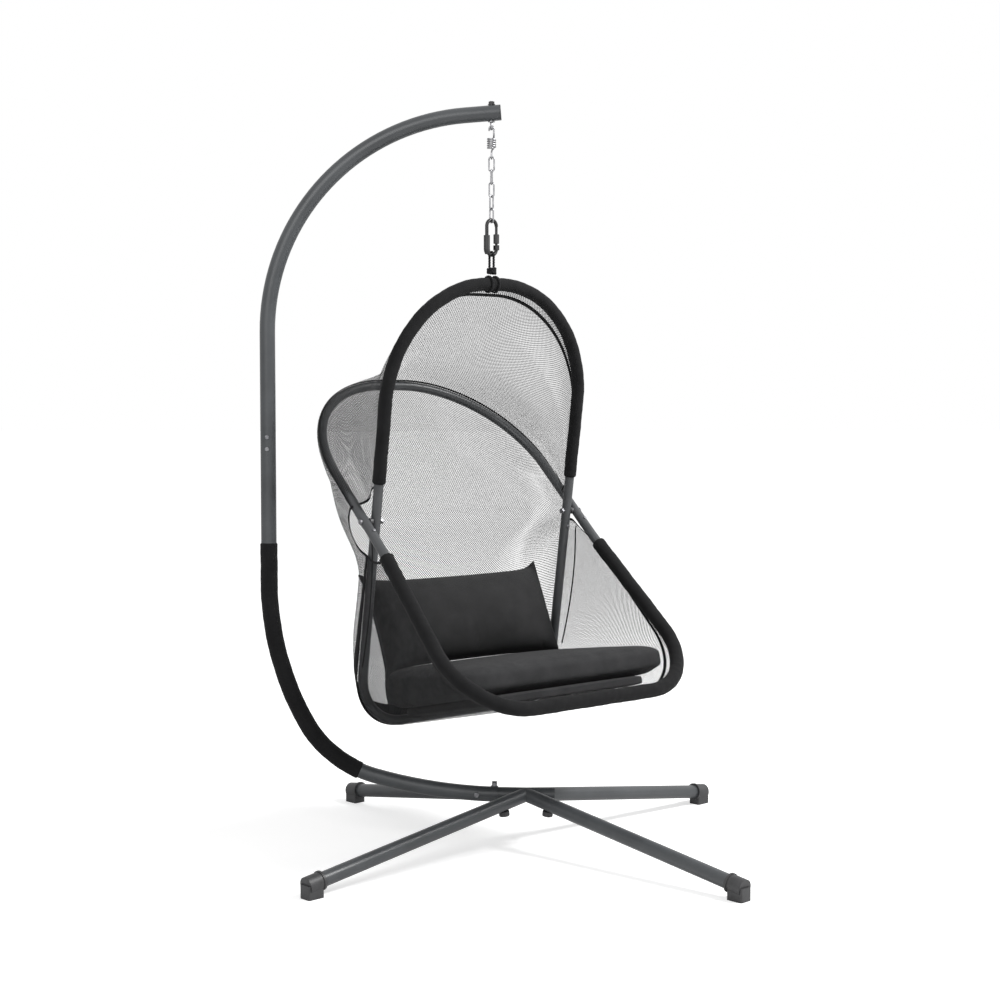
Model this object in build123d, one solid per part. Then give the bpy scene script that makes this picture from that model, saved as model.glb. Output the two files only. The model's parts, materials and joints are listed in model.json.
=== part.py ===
from build123d import *
import os
from math import asin, atan, atan2, cos, degrees, hypot, pi, radians, sin, sqrt, tan

# Stand base: four legs on a square, in millimetres, floor at Z = 0
foot_spacing = 1000.0
hub_height = 135.5
foot_axis_height = 33.4
leg_diameter = 37.0
leg_wall = 1.5
stub_length = 110.0
stub_bore_start = 45.0
plug_diameter = 33.4
plug_length = 48.0
leg_overrun = 14.0
foot_length = 45.0
foot_width = 36.5
foot_collar_diameter = 44.0
knob_reach = 84.0
knob_diameter = 28.0
knob_height = 13.0

# Mast: one tube bent in the plane Y = 0, made of two lengths
mast_diameter = 40.0
mast_bore = 37.6
hub_front = 75.0
mast_foot_straight = 46.0
foot_bend_radius = 1297.0
foot_bend_turn = 15.7
knee_radius = 300.0
knee_turn = 46.1
rise_radius = 766.5
rise_turn = 90.0 - foot_bend_turn - knee_turn
crook_height = 1344.0
crook_radius = 555.6
crook_turn = 85.6
tip_straight = 89.5
mast_split_height = 1025.0
mast_foot_reach = 74.0
hub_spigot_reach = 180.0
foot_bolt_reach = 129.0
clamp_width = 19.0
sleeve_start_turn = 23.4
sleeve_top_height = 796.0
sleeve_thickness = 2.7
spigot_below = 100.0
spigot_above = 80.0

# Hanger: everything hangs on one upright axis in the mast's plane
hang_x = -90.0
bolt_size = 8.0
eye_drop = 11.15
eye_radius = 8.0
eye_wire = 7.0
coil_drop = 28.5
coil_turns = 5
coil_pitch = 5.6
coil_radius = 9.75
coil_wire = 4.5
link_wire = 4.0
link_span = 36.9
link_radius = 6.6
link_count = 5
chain_drop = 50.5
rod = 9.0
carabiner_radius = 16.0
carabiner_length = 90.0
gate_rod = 7.0
rope = 7.0
wrap_offset = 11.0
sling_drop = 74.75
sling_offset = 17.0

# Chair: two flat hoops that share the crossing axis, leaning each way
chair_yaw = -48.28
tube_diameter = 25.0
tube_bore = 22.4
cover_diameter = 32.0
arch_lean = 8.16
arch_half_width = 327.0
arch_height = 610.0
arch_corner = 308.0
arch_depth = 537.0
arch_low_corner = 140.0
canopy_lean = -46.86
canopy_half_width = 361.0
canopy_height = 504.0
canopy_corner = 330.0
front_depth = 627.5
front_half_width = 398.0
front_knee = 100.0
front_knee_radius = 400.0
front_low_corner = 184.0
seam_drop = 27.0
hoop_plug = 40.0
arch_cover_start = 95.0
front_cover_start = 120.0

# Mesh, cushions and the gaps between pieces
mesh_thickness = 1.6
fold_reach = 19.2
canopy_root = 48.0
rear_root = 88.0
back_draw = 0.44
back_skew = 0.85
back_round = 0.5
waist_draw = 55.0
waist_skew = 2.0
pad_thickness = 29.9
pad_lift = 15.0
cushion_thickness = 62.0
cushion_crown = 12.0
cushion_rear = 62.0
cushion_front = 492.0
cushion_half_width = 347.0
cushion_taper = 36.0
pad_margin = 57.0
pillow_height = 280.0
pillow_half_width = 297.0
pillow_thickness = 168.0
pillow_back = 53.0
pillow_drop = 286.2
clear = 0.3

os.makedirs("parts", exist_ok=True)
made = []


def keep(name, shape):
    """Note one finished piece under its name."""
    made.append((name, shape))


def bar(diameter, length, bore=0.0):
    """A round bar along +X from the origin, with a bore if one is given."""
    turn = Rot(0, 90, 0)
    body = turn * Cylinder(diameter / 2, length, align=(Align.CENTER, Align.CENTER, Align.MIN))
    if bore:
        body -= turn * Cylinder(bore / 2, length, align=(Align.CENTER, Align.CENTER, Align.MIN))
    return body


def pipe(path, diameter, bore=0.0):
    """A round section carried along a path of straights and arcs."""
    section = Circle(diameter / 2)
    if bore:
        section -= Circle(bore / 2)
    return sweep(Plane(path @ 0, z_dir=path % 0) * section, path=path)


def hex_nut(across, height):
    """A nut blank standing on the origin along +Z."""
    return extrude(RegularPolygon(across / sqrt(3), 6), height)


# The base: hub, legs, feet and knobs
foot_reach = foot_spacing / sqrt(2)
leg_slope = degrees(atan((hub_height - foot_axis_height) / foot_reach))
leg_reach = foot_reach / cos(radians(leg_slope))
leg_end = leg_reach + leg_overrun
leg_bore = leg_diameter - 2 * leg_wall
knob_hole = Pos(knob_reach, 0, 0) * Cylinder(
    bolt_size / 2 + 0.2, leg_diameter, align=(Align.CENTER, Align.CENTER, Align.MAX))
leg_turns = {"front_right": -45, "front_left": -135, "back_right": 45, "back_left": 135}


def leg_place(turn):
    """The frame of one leg: +X runs down along its axis from the hub."""
    return Pos(0, 0, hub_height) * Rot(0, 0, turn) * Rot(0, leg_slope, 0)


def lower_bend(turn):
    """Where the mast's axis has turned up by so many degrees from its foot."""
    x, z, done = -mast_foot_straight, hub_height, 0.0
    for radius, share in lower_bends:
        step = min(share, turn - done)
        if step > 0:
            x -= radius * (sin(radians(done + step)) - sin(radians(done)))
            z += radius * (cos(radians(done)) - cos(radians(done + step)))
            done += step
    return x, z


def bend_edges(start, stop):
    """The arcs of the lower bend between two amounts of turn."""
    edges, done = [], 0.0
    for radius, share in lower_bends:
        first = max(start, done)
        last = min(stop, done + share)
        if last > first:
            ends = [lower_bend(first), lower_bend((first + last) / 2), lower_bend(last)]
            edges.append(ThreePointArc(*[(x, 0, z) for x, z in ends]))
        done += share
    return edges


lower_bends = [(foot_bend_radius, foot_bend_turn), (knee_radius, knee_turn), (rise_radius, rise_turn)]
mast_x, rise_top = lower_bend(90.0)
hub_end_turn = degrees(asin((hub_spigot_reach - mast_foot_straight) / foot_bend_radius))
foot_end_turn = degrees(asin((mast_foot_reach - mast_foot_straight) / foot_bend_radius))
foot_bolt_turn = degrees(asin((foot_bolt_reach - mast_foot_straight) / foot_bend_radius))
clamp_turn = degrees(asin((mast_foot_reach + clamp_width / 2 - mast_foot_straight) / foot_bend_radius))

hub_straight = Line((hub_front, 0, hub_height), (-mast_foot_straight, 0, hub_height))
hub_path = Wire([hub_straight] + bend_edges(0.0, hub_end_turn))
hub = pipe(hub_path, leg_diameter)
for turn in leg_turns.values():
    hub += leg_place(turn) * bar(leg_diameter, stub_length)
hub -= pipe(hub_path, leg_bore)
for turn in leg_turns.values():
    socket = Pos(stub_bore_start, 0, 0) * bar(leg_bore, stub_length - stub_bore_start)
    hub -= leg_place(turn) * socket
    hub -= leg_place(turn) * knob_hole
foot_bolt_x, foot_bolt_z = lower_bend(foot_bolt_turn)
foot_bolt_place = Pos(foot_bolt_x, 0, foot_bolt_z) * Rot(90, 0, 0)
foot_bolt_hole = foot_bolt_place * Cylinder(bolt_size / 2 + 0.2, 3 * mast_diameter)
hub -= foot_bolt_hole
keep("base_hub", hub)

leg = Pos(stub_length + clear, 0, 0) * bar(leg_diameter, leg_end - stub_length - clear, leg_bore)
leg += Pos(stub_length + clear, 0, 0) * bar(leg_diameter, 6.0, plug_diameter - 2 * leg_wall)
leg += Pos(stub_length - plug_length, 0, 0) * bar(plug_diameter, plug_length + 3.0,
                                                 plug_diameter - 2 * leg_wall)
leg -= knob_hole

collar = Pos(leg_end - foot_length + 4.0, 0, 0) * bar(foot_collar_diameter, foot_length)
lip = Pos(leg_end - foot_length + 4.0, 0, 0) * bar(foot_collar_diameter + 4.0, 6.0)
leg_space = Pos(leg_end - 2 * foot_length, 0, 0) * bar(leg_diameter + 2 * clear, 2 * foot_length + clear)

knob = Pos(0, 0, -leg_diameter / 2 - clear) * Cylinder(
    knob_diameter / 2, knob_height, align=(Align.CENTER, Align.CENTER, Align.MAX))
knob = fillet(knob.edges().filter_by(GeomType.CIRCLE), 2.0)
flute = Pos(knob_diameter / 2 + 2.5, 0, 0) * Cylinder(4.0, 3 * leg_diameter)
for step in range(8):
    knob -= Rot(0, 0, step * 45) * flute
knob += Pos(0, 0, -leg_diameter / 2 - 2.0) * Cylinder(
    bolt_size / 2, 11.0, align=(Align.CENTER, Align.CENTER, Align.MIN))
knobs = []
for place, turn in leg_turns.items():
    keep(f"leg_{place}", leg_place(turn) * leg)
    block = Pos(0, 0, 0) * Rot(0, 0, turn) * Pos(foot_reach, 0, 0) * Box(
        foot_length, foot_width, foot_axis_height, align=(Align.CENTER, Align.CENTER, Align.MIN))
    block = fillet(block.edges().filter_by(Axis.Z), 4.0)
    foot = block + leg_place(turn) * (collar + lip)
    foot -= leg_place(turn) * leg_space
    foot -= Pos(0, 0, -50) * Box(3 * foot_spacing, 3 * foot_spacing, 100)
    keep(f"foot_{place}", foot)
    knobs.append(leg_place(turn) * Pos(knob_reach, 0, 0) * knob)
keep("leg_knobs", Compound(children=knobs))

# The mast and what is fixed to it
lower_rise = Line((mast_x, 0, rise_top), (mast_x, 0, mast_split_height))
lower_path = Wire(bend_edges(foot_end_turn, 90.0) + [lower_rise])
mast_lower = pipe(lower_path, mast_diameter, mast_bore) - foot_bolt_hole
crook_rest = 90.0 - crook_turn
crook_x = mast_x + crook_radius
crook_points = []
for turned in (0.0, crook_turn / 2, crook_turn):
    spot_x = crook_x - crook_radius * cos(radians(turned))
    spot_z = crook_height + crook_radius * sin(radians(turned))
    crook_points.append((spot_x, 0, spot_z))
tip_x = crook_points[2][0] + tip_straight * cos(radians(crook_rest))
tip_z = crook_points[2][2] + tip_straight * sin(radians(crook_rest))
upper_path = Wire([
    Line((mast_x, 0, mast_split_height + 0.4), (mast_x, 0, crook_height)),
    ThreePointArc(*crook_points),
    Line(crook_points[2], (tip_x, 0, tip_z)),
])
mast_upper = pipe(upper_path, mast_diameter, mast_bore)
spigot_low = mast_split_height - spigot_below
spigot_high = mast_split_height + spigot_above
spigot = Pos(mast_x, 0, (spigot_low + spigot_high) / 2) * (
    Cylinder(leg_diameter / 2, spigot_high - spigot_low)
    - Cylinder(leg_bore / 2, spigot_high - spigot_low))
joint_screws = []
for height in (mast_split_height + 16.0, mast_split_height + 47.0):
    screw_place = Pos(mast_x, -mast_diameter / 2 - clear, height) * Rot(90, 0, 0)
    head = Cylinder(5.5, 3.0, align=(Align.CENTER, Align.CENTER, Align.MIN))
    head = fillet(head.faces().sort_by(Axis.Z)[-1].edges(), 1.5)
    shank = Cylinder(3.0, 10.0, align=(Align.CENTER, Align.CENTER, Align.MAX))
    joint_screws.append(screw_place * (head + shank))
    hole = screw_place * Cylinder(3.2, 24.0)
    mast_upper -= hole
    spigot -= hole

eye_tube_z = tip_z - (tip_x - hang_x) * tan(radians(crook_rest))
mast_upper -= Pos(hang_x, 0, eye_tube_z) * Cylinder(bolt_size / 2 + 0.2, 3 * mast_diameter)
keep("mast_lower", mast_lower)
keep("mast_upper", mast_upper)
keep("mast_spigot", spigot)
keep("mast_joint_screws", Compound(children=joint_screws))

bolt_half = mast_diameter / 2 + clear
foot_bolt = Cylinder(bolt_size / 2, 2 * bolt_half + 8.0)
foot_head = Pos(0, 0, bolt_half) * Cylinder(7.0, 4.5, align=(Align.CENTER, Align.CENTER, Align.MIN))
foot_head = fillet(foot_head.faces().sort_by(Axis.Z)[-1].edges(), 2.0)
foot_nut = Pos(0, 0, -bolt_half - 6.5) * hex_nut(13.0, 6.5)
keep("mast_foot_bolt", foot_bolt_place * (foot_bolt + foot_head + foot_nut))

clamp_x, clamp_z = lower_bend(clamp_turn)
clamp_place = Pos(clamp_x, 0, clamp_z) * Rot(0, clamp_turn, 0)
clamp_outer = mast_diameter + 4.4
strap = Pos(-clamp_width / 2, 0, 0) * bar(clamp_outer, clamp_width)
lug = Pos(0, 0, clamp_outer / 2 - 2.0) * Box(
    13.0, 18.0, 13.5, align=(Align.CENTER, Align.CENTER, Align.MIN))
lug = fillet(lug.faces().sort_by(Axis.Z)[-1].edges().filter_by(Axis.X), 3.0)
strap += lug
strap -= Pos(-clamp_width, 0, 0) * bar(mast_diameter + 2 * clear, 2 * clamp_width)
strap -= Pos(0, 0, clamp_outer / 2) * Box(2 * clamp_width, 2.4, clamp_outer)
pinch_place = clamp_place * Pos(0, 0, clamp_outer / 2 + 5.6) * Rot(90, 0, 0)
strap -= Pos(0, 0, clamp_outer / 2 + 5.6) * Rot(90, 0, 0) * Cylinder(2.7, 60.0)
keep("mast_clamp", clamp_place * strap)
pinch = Cylinder(2.5, 25.0)
pinch += Pos(0, 0, 9.0 + clear) * Cylinder(4.2, 3.2, align=(Align.CENTER, Align.CENTER, Align.MIN))
pinch += Pos(0, 0, -9.0 - clear - 3.6) * hex_nut(8.0, 3.6)
keep("mast_clamp_bolt", pinch_place * pinch)

bumper_top = Line((mast_x, 0, rise_top), (mast_x, 0, sleeve_top_height))
bumper_path = Wire(bend_edges(sleeve_start_turn, 90.0) + [bumper_top])
bumper_bore = mast_diameter + 2 * clear
keep("mast_bumper", pipe(bumper_path, bumper_bore + 2 * sleeve_thickness, bumper_bore))

plug_place = Pos(tip_x, 0, tip_z) * Rot(0, -crook_rest, 0)
plug = bar(mast_diameter, 3.0)
plug = fillet(plug.faces().sort_by(Axis.X)[-1].edges(), 1.5)
plug += Pos(-9.0, 0, 0) * bar(mast_bore - 2 * clear, 10.0)
plug = Pos(clear, 0, 0) * plug
keep("mast_plug", plug_place * plug)

# The eye bolt through the tip
tube_half = mast_diameter / 2 / cos(radians(crook_rest))
under_tube = eye_tube_z - tube_half - 1.0
eye_height = under_tube - eye_drop
coil_top = eye_height - coil_drop
chain_top = coil_top - chain_drop
over_tube = eye_tube_z + tube_half + 1.0
eye_place = Pos(hang_x, 0, eye_height)
eye = eye_place * Rot(0, 90, 0) * Torus(eye_radius, eye_wire / 2)
shank_top = over_tube + 9.5
shank_low = eye_height + eye_radius
eye += Pos(hang_x, 0, shank_low) * Cylinder(
    bolt_size / 2, shank_top - shank_low, align=(Align.CENTER, Align.CENTER, Align.MIN))
eye += Pos(hang_x, 0, under_tube) * Cylinder(
    9.0, 1.6, align=(Align.CENTER, Align.CENTER, Align.MAX))
keep("eye_bolt", eye)
washer = Pos(hang_x, 0, over_tube) * Cylinder(
    9.5, 1.6, align=(Align.CENTER, Align.CENTER, Align.MIN))
nut = Pos(hang_x, 0, over_tube + 1.6) * hex_nut(13.0, 6.5)
nut_bore = Pos(hang_x, 0, over_tube - 5.0) * Cylinder(
    bolt_size / 2 + 0.1, 30.0, align=(Align.CENTER, Align.CENTER, Align.MIN))
keep("eye_bolt_nut", washer + nut - nut_bore)


# The spring: a close coil with a hook at each end, one length of wire
def biarc(start, start_way, end, end_way):
    """Two tangent arcs from one point and direction to another."""
    span = end - start
    ways = start_way + end_way
    spread = 2 * (1 - start_way.dot(end_way))
    along = span.dot(ways)
    if spread < 1e-9:
        reach = span.dot(span) / (2 * along)
    else:
        reach = (sqrt(along * along + spread * span.dot(span)) - along) / spread
    middle = (start + end + (start_way - end_way) * reach) * 0.5
    first = TangentArc(start, middle, tangent=start_way)
    second = TangentArc(middle, end, tangent=first % 1)
    return [first, second]


def coil_spot(turns):
    """Point and direction of the wire after so many turns down the coil."""
    angle = 2 * pi * turns
    drop = coil_pitch / (2 * pi)
    spot = Vector(hang_x + coil_radius * cos(angle), coil_radius * sin(angle),
                  coil_top - coil_wire / 2 - coil_pitch * turns)
    way = Vector(-coil_radius * sin(angle), coil_radius * cos(angle), -drop).normalized()
    return spot, way


top_hook = eye_wire / 2 + coil_wire / 2 + clear
low_hook = link_wire / 2 + coil_wire / 2 + clear + 0.2
hook_top_z = eye_height - eye_radius
coil_low = coil_top - coil_wire - coil_pitch * coil_turns
down, up = Vector(0, 0, -1), Vector(0, 0, 1)
wire_path = [Line((hang_x - top_hook, 0, hook_top_z - 5.0), (hang_x - top_hook, 0, hook_top_z))]
wire_path.append(ThreePointArc((hang_x - top_hook, 0, hook_top_z), (hang_x, 0, hook_top_z + top_hook),
                               (hang_x + top_hook, 0, hook_top_z)))
hook_leg = Vector(hang_x + top_hook, 0, coil_top + 9.0)
wire_path.append(Line((hang_x + top_hook, 0, hook_top_z), hook_leg))
quarter = 0.25
lead, lead_way = coil_spot(quarter)
wire_path += biarc(hook_leg, down, lead, lead_way)
steps = int(round((coil_turns - 2 * quarter) / quarter))
for step in range(steps):
    here, here_way = coil_spot(quarter * (step + 1))
    there, there_way = coil_spot(quarter * (step + 2))
    wire_path += biarc(here, here_way, there, there_way)
last, last_way = coil_spot(quarter * (steps + 1))
low_leg = Vector(hang_x, low_hook, coil_low - 7.0)
wire_path += biarc(last, last_way, low_leg, down)
hook_low_z = chain_top
wire_path.append(Line(low_leg, (hang_x, low_hook, hook_low_z)))
wire_path.append(ThreePointArc((hang_x, low_hook, hook_low_z), (hang_x, 0, hook_low_z - low_hook),
                               (hang_x, -low_hook, hook_low_z)))
wire_path.append(Line((hang_x, -low_hook, hook_low_z), (hang_x, -low_hook, hook_low_z + 4.0)))
spring_path = Wire(wire_path)
spring = pipe(spring_path, coil_wire)
keep("hanger_spring", spring)

samples = 1500
wire_length = spring_path.length
wire_points = [spring_path @ (k / samples) for k in range(samples + 1)]
skip = int(samples * 3.0 * coil_wire / wire_length)
least = 1e9
for k in range(0, samples + 1, 2):
    for j in range(k + skip, samples + 1, 2):
        least = min(least, (wire_points[k] - wire_points[j]).length)
tightest = min(edge.radius for edge in spring_path.edges() if edge.geom_type == GeomType.CIRCLE)
print("spring wire", round(wire_length, 1), "least gap", round(least - coil_wire, 2),
      "tightest bend", round(tightest, 2))

# The chain, each link turned a quarter from the last and twisted a little
chain_pitch = link_span - link_wire - 0.2
half_span = link_span / 2 - link_radius
half_path = Wire([
    Line((link_radius, 0, 0), (link_radius, 0, half_span)),
    ThreePointArc((link_radius, 0, half_span), (0, 0, half_span + link_radius), (-link_radius, 0, half_span)),
    Line((-link_radius, 0, half_span), (-link_radius, 0, 0)),
])
half_link = pipe(half_path, link_wire)
link = half_link + mirror(half_link, Plane.XY)
chain_twist = chair_yaw / (link_count - 1)
for number in range(link_count):
    middle_z = chain_top - link_span / 2 - chain_pitch * number
    turn = 90 * (number % 2) + chain_twist * number
    keep(f"chain_link_{number + 1}", Pos(hang_x, 0, middle_z) * Rot(0, 0, turn) * link)

# The carabiner, square to the chair, with a sprung gate on its left side
chain_end = chain_top - link_span - chain_pitch * (link_count - 1)
carabiner_top = chain_end + link_wire / 2 + rod / 2 + clear
carabiner_bottom = carabiner_top - carabiner_length
arch_top_height = carabiner_bottom - sling_drop
hang_place = Pos(hang_x, 0, 0) * Rot(0, 0, chair_yaw)
side = carabiner_radius
top_z = carabiner_top - side
low_z = carabiner_bottom + side
pin_z = low_z + 5.0
gate_low = low_z + 1.5
gate_high = top_z - 0.6
body_path = Wire([
    Line((0, side, top_z - 0.2), (0, side, top_z)),
    ThreePointArc((0, side, top_z), (0, 0, top_z + side), (0, -side, top_z)),
    Line((0, -side, top_z), (0, -side, low_z)),
    ThreePointArc((0, -side, low_z), (0, 0, low_z - side), (0, side, low_z)),
])
body = pipe(body_path, rod)
cheek = Pos(0, side, low_z) * Box(2.0, rod, 10.0, align=(Align.CENTER, Align.CENTER, Align.MIN))
for way in (-1, 1):
    body += Pos(way * (rod / 2 + 1.2), 0, 0) * cheek
foot_bar = Pos(0, side, low_z) * Box(
    rod + 4.4, rod, 3.0, align=(Align.CENTER, Align.CENTER, Align.MAX))
body += foot_bar
body -= Pos(0, side, pin_z) * Rot(0, 90, 0) * Cylinder(1.6, 4 * rod)
keep("carabiner_body", hang_place * body)
gate = Pos(0, side, gate_low) * Cylinder(
    gate_rod / 2, gate_high - gate_low, align=(Align.CENTER, Align.CENTER, Align.MIN))
gate -= Pos(0, side, pin_z) * Rot(0, 90, 0) * Cylinder(1.8, 4 * rod)
keep("carabiner_gate", hang_place * gate)
keep("carabiner_pin", hang_place * Pos(0, side, pin_z) * Rot(0, 90, 0) * Cylinder(1.5, rod + 4.4))
ferrule = Cylinder(7.5, 24.0, align=(Align.CENTER, Align.CENTER, Align.MIN))
ferrule -= Cylinder(gate_rod / 2 + 0.1, 60.0)
ferrule = fillet(ferrule.edges().filter_by(GeomType.CIRCLE).sort_by(SortBy.RADIUS)[-2:], 1.0)
keep("carabiner_lock_sleeve", hang_place * Pos(0, side, pin_z + 9.0) * ferrule)
grip_end = radians(38.0)
grip_half = radians(19.0)
grip_path = Wire([
    Line((0, -side, low_z + 34.0), (0, -side, low_z)),
    ThreePointArc((0, -side, low_z), (0, -side * cos(grip_half), low_z - side * sin(grip_half)),
                  (0, -side * cos(grip_end), low_z - side * sin(grip_end))),
])
grip = pipe(grip_path, 16.0, rod + 0.2)
keep("carabiner_grip", hang_place * grip)

# The rope sling: a loop over the carabiner's bar, a knot and two wraps on the arch
loop_radius = rod / 2 + rope / 2 + clear
wrap_radius = cover_diameter / 2 + rope / 2 + clear
wrap_top = arch_top_height + wrap_radius + rope / 2
knot_low = wrap_top + clear
knot_height = 20.0
strand_low = knot_low + knot_height
strand_path = Wire([
    Line((loop_radius, 0, strand_low), (loop_radius, 0, carabiner_bottom)),
    ThreePointArc((loop_radius, 0, carabiner_bottom), (0, 0, carabiner_bottom + loop_radius),
                  (-loop_radius, 0, carabiner_bottom)),
    Line((-loop_radius, 0, carabiner_bottom), (-loop_radius, 0, strand_low)),
])
strand = pipe(strand_path, rope)
wrap = Pos(0, 0, arch_top_height) * Rot(90, 0, 0) * Torus(wrap_radius, rope / 2)
wraps = [Pos(0, way * wrap_offset, 0) * wrap for way in (-1, 1)]
keep("sling_rope", hang_place * Compound(children=[strand] + wraps))
knot_half = knot_height / 2
knot_profile = make_face([
    Line((0, -knot_half), (13.0, -knot_half)),
    ThreePointArc((13.0, -knot_half), (14.0, 0), (12.4, knot_half)),
    Line((12.4, knot_half), (0, knot_half)),
    Line((0, knot_half), (0, -knot_half)),
])
knot = Pos(0, 0, knot_low + knot_half) * revolve(Plane.XZ * knot_profile, Axis.Z)
keep("sling_knot", hang_place * knot)

# The chair's frame: origin midway between the crossings, +X forward, +Y left
lean = radians(arch_lean)
arch_rise = Pos(-arch_height * sin(lean), sling_offset, -arch_height * cos(lean))
chair_place = Pos(hang_x, 0, arch_top_height) * Rot(0, 0, chair_yaw) * arch_rise


def on_hoop(angle, side_way, out):
    """A point in the plane that leans by an angle, so far out from the crossings."""
    return (out * sin(radians(angle)), side_way, out * cos(radians(angle)))


def hoop_path(angle, rows, radii):
    """A hoop's centre line from left to right, bent at each inner corner."""
    ends = [on_hoop(angle, way, out) for way, out in rows]
    mirrored = [on_hoop(angle, -way, out) for way, out in reversed(rows)]
    bends = radii + radii[::-1]
    return FilletPolyline(*(ends + mirrored), radius=bends)


arch_path = hoop_path(arch_lean, [(arch_half_width, -seam_drop), (arch_half_width, arch_height)],
                      [arch_corner])
arch_low_path = hoop_path(arch_lean, [(arch_half_width, -seam_drop - clear), (arch_half_width, -arch_depth)],
                          [arch_low_corner])
canopy_path = hoop_path(canopy_lean, [(canopy_half_width, -seam_drop), (canopy_half_width, canopy_height)],
                        [canopy_corner])
front_path = hoop_path(canopy_lean, [(canopy_half_width, -seam_drop - clear),
                                     (canopy_half_width, -front_knee), (front_half_width, -front_depth)],
                       [front_knee_radius, front_low_corner])


def hoop_frame(angle, side_way):
    """Frame on a hoop's side: +Z up along the hoop, +X across its plane."""
    return Pos(0, side_way, 0) * Rot(0, angle, 0)


crossing_hole = Rot(90, 0, 0) * Cylinder(bolt_size / 2 + 0.2, 4 * canopy_half_width)
screw_holes = []
hoop_screws = []
hoop_specs = [(arch_lean, arch_half_width), (canopy_lean, canopy_half_width)]
for angle, half in hoop_specs:
    for way in (-1, 1):
        spot = hoop_frame(angle, way * half) * Pos(0, 0, -seam_drop - 14.0)
        outward = spot * Rot(0, 90, 0)
        screw = Pos(0, 0, tube_diameter / 2 + clear) * Cylinder(
            4.5, 2.6, align=(Align.CENTER, Align.CENTER, Align.MIN))
        screw = fillet(screw.faces().sort_by(Axis.Z)[-1].edges(), 1.2)
        screw += Pos(0, 0, tube_diameter / 2 + 1.0) * Cylinder(
            2.5, 8.0, align=(Align.CENTER, Align.CENTER, Align.MAX))
        hoop_screws.append(chair_place * outward * screw)
        screw_holes.append(outward * Cylinder(2.7, 40.0, align=(Align.CENTER, Align.CENTER, Align.MIN)))


def upper_hoop(path, angle, half):
    """An upper tube with reduced ends that plug into the lower tube."""
    body = pipe(path, tube_diameter, tube_bore)
    for way in (-1, 1):
        end = hoop_frame(angle, way * half)
        neck = Pos(0, 0, -seam_drop) * (Cylinder(tube_diameter / 2, 4.0, align=(
            Align.CENTER, Align.CENTER, Align.MIN)))
        neck += Pos(0, 0, -seam_drop - hoop_plug) * Cylinder(
            tube_bore / 2 - clear, hoop_plug + 2.0, align=(Align.CENTER, Align.CENTER, Align.MIN))
        neck -= Pos(0, 0, -seam_drop - hoop_plug) * Cylinder(
            tube_bore / 2 - 1.8, 2 * hoop_plug, align=(Align.CENTER, Align.CENTER, Align.MIN))
        body += end * neck
    body -= crossing_hole
    for hole in screw_holes:
        body -= hole
    return body


def lower_hoop(path):
    """A lower tube, drilled for its joint screws."""
    body = pipe(path, tube_diameter, tube_bore)
    for hole in screw_holes:
        body -= hole
    return body


keep("arch_tube", chair_place * upper_hoop(arch_path, arch_lean, arch_half_width))
keep("rear_seat_tube", chair_place * lower_hoop(arch_low_path))
keep("canopy_tube", chair_place * upper_hoop(canopy_path, canopy_lean, canopy_half_width))
keep("front_seat_tube", chair_place * lower_hoop(front_path))
keep("hoop_screws", Compound(children=hoop_screws))

# The two crossings: a bolt, a spacer between the tubes and a nut inside
inner_face = arch_half_width - tube_diameter / 2 - clear
outer_face = canopy_half_width + tube_diameter / 2 + clear
bolts, nuts, spacers = [], [], []
for way in (-1, 1):
    across = chair_place * Rot(-90 * way, 0, 0)
    bolt = Pos(0, 0, inner_face - 8.0) * Cylinder(
        bolt_size / 2, outer_face - inner_face + 9.0, align=(Align.CENTER, Align.CENTER, Align.MIN))
    dome = Pos(0, 0, outer_face) * Cylinder(7.0, 4.6, align=(Align.CENTER, Align.CENTER, Align.MIN))
    dome = fillet(dome.faces().sort_by(Axis.Z)[-1].edges(), 2.5)
    bolts.append(across * (bolt + dome))
    hole = Cylinder(bolt_size / 2 + 0.1, 4 * canopy_half_width)
    nuts.append(across * (Pos(0, 0, inner_face - 6.5) * hex_nut(13.0, 6.5) - hole))
    space = canopy_half_width - arch_half_width - tube_diameter - 2 * clear
    middle = (canopy_half_width + arch_half_width) / 2
    spacers.append(across * (Pos(0, 0, middle) * Cylinder(9.0, space) - hole))
keep("crossing_bolts", Compound(children=bolts))
keep("crossing_nuts", Compound(children=nuts))
keep("crossing_spacers", Compound(children=spacers))

# Fabric covers drawn over the arch and over the front of the seat
cover_bore = tube_diameter + 2 * clear
arch_cover_path = hoop_path(arch_lean, [(arch_half_width, arch_cover_start), (arch_half_width, arch_height)],
                            [arch_corner])
flare = (front_half_width - canopy_half_width) / (front_depth - front_knee)
cover_side = canopy_half_width + (front_cover_start - front_knee) * flare
front_cover_path = hoop_path(canopy_lean, [(cover_side, -front_cover_start),
                                           (front_half_width, -front_depth)], [front_low_corner])
keep("arch_cover", chair_place * pipe(arch_cover_path, cover_diameter, cover_bore))
keep("front_cover", chair_place * pipe(front_cover_path, cover_diameter, cover_bore))


# The mesh: three panels stretched from hoop to hoop
def chord(first, second, share):
    """Distance out along a straight line between two points given as angle and distance."""
    angle_a, out_a = first
    angle_b, out_b = second
    angle = angle_a + (angle_b - angle_a) * share
    near = sin(radians(angle_b - angle)) / out_a
    far = sin(radians(angle - angle_a)) / out_b
    return angle, sin(radians(angle_b - angle_a)) / (near + far)


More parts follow.
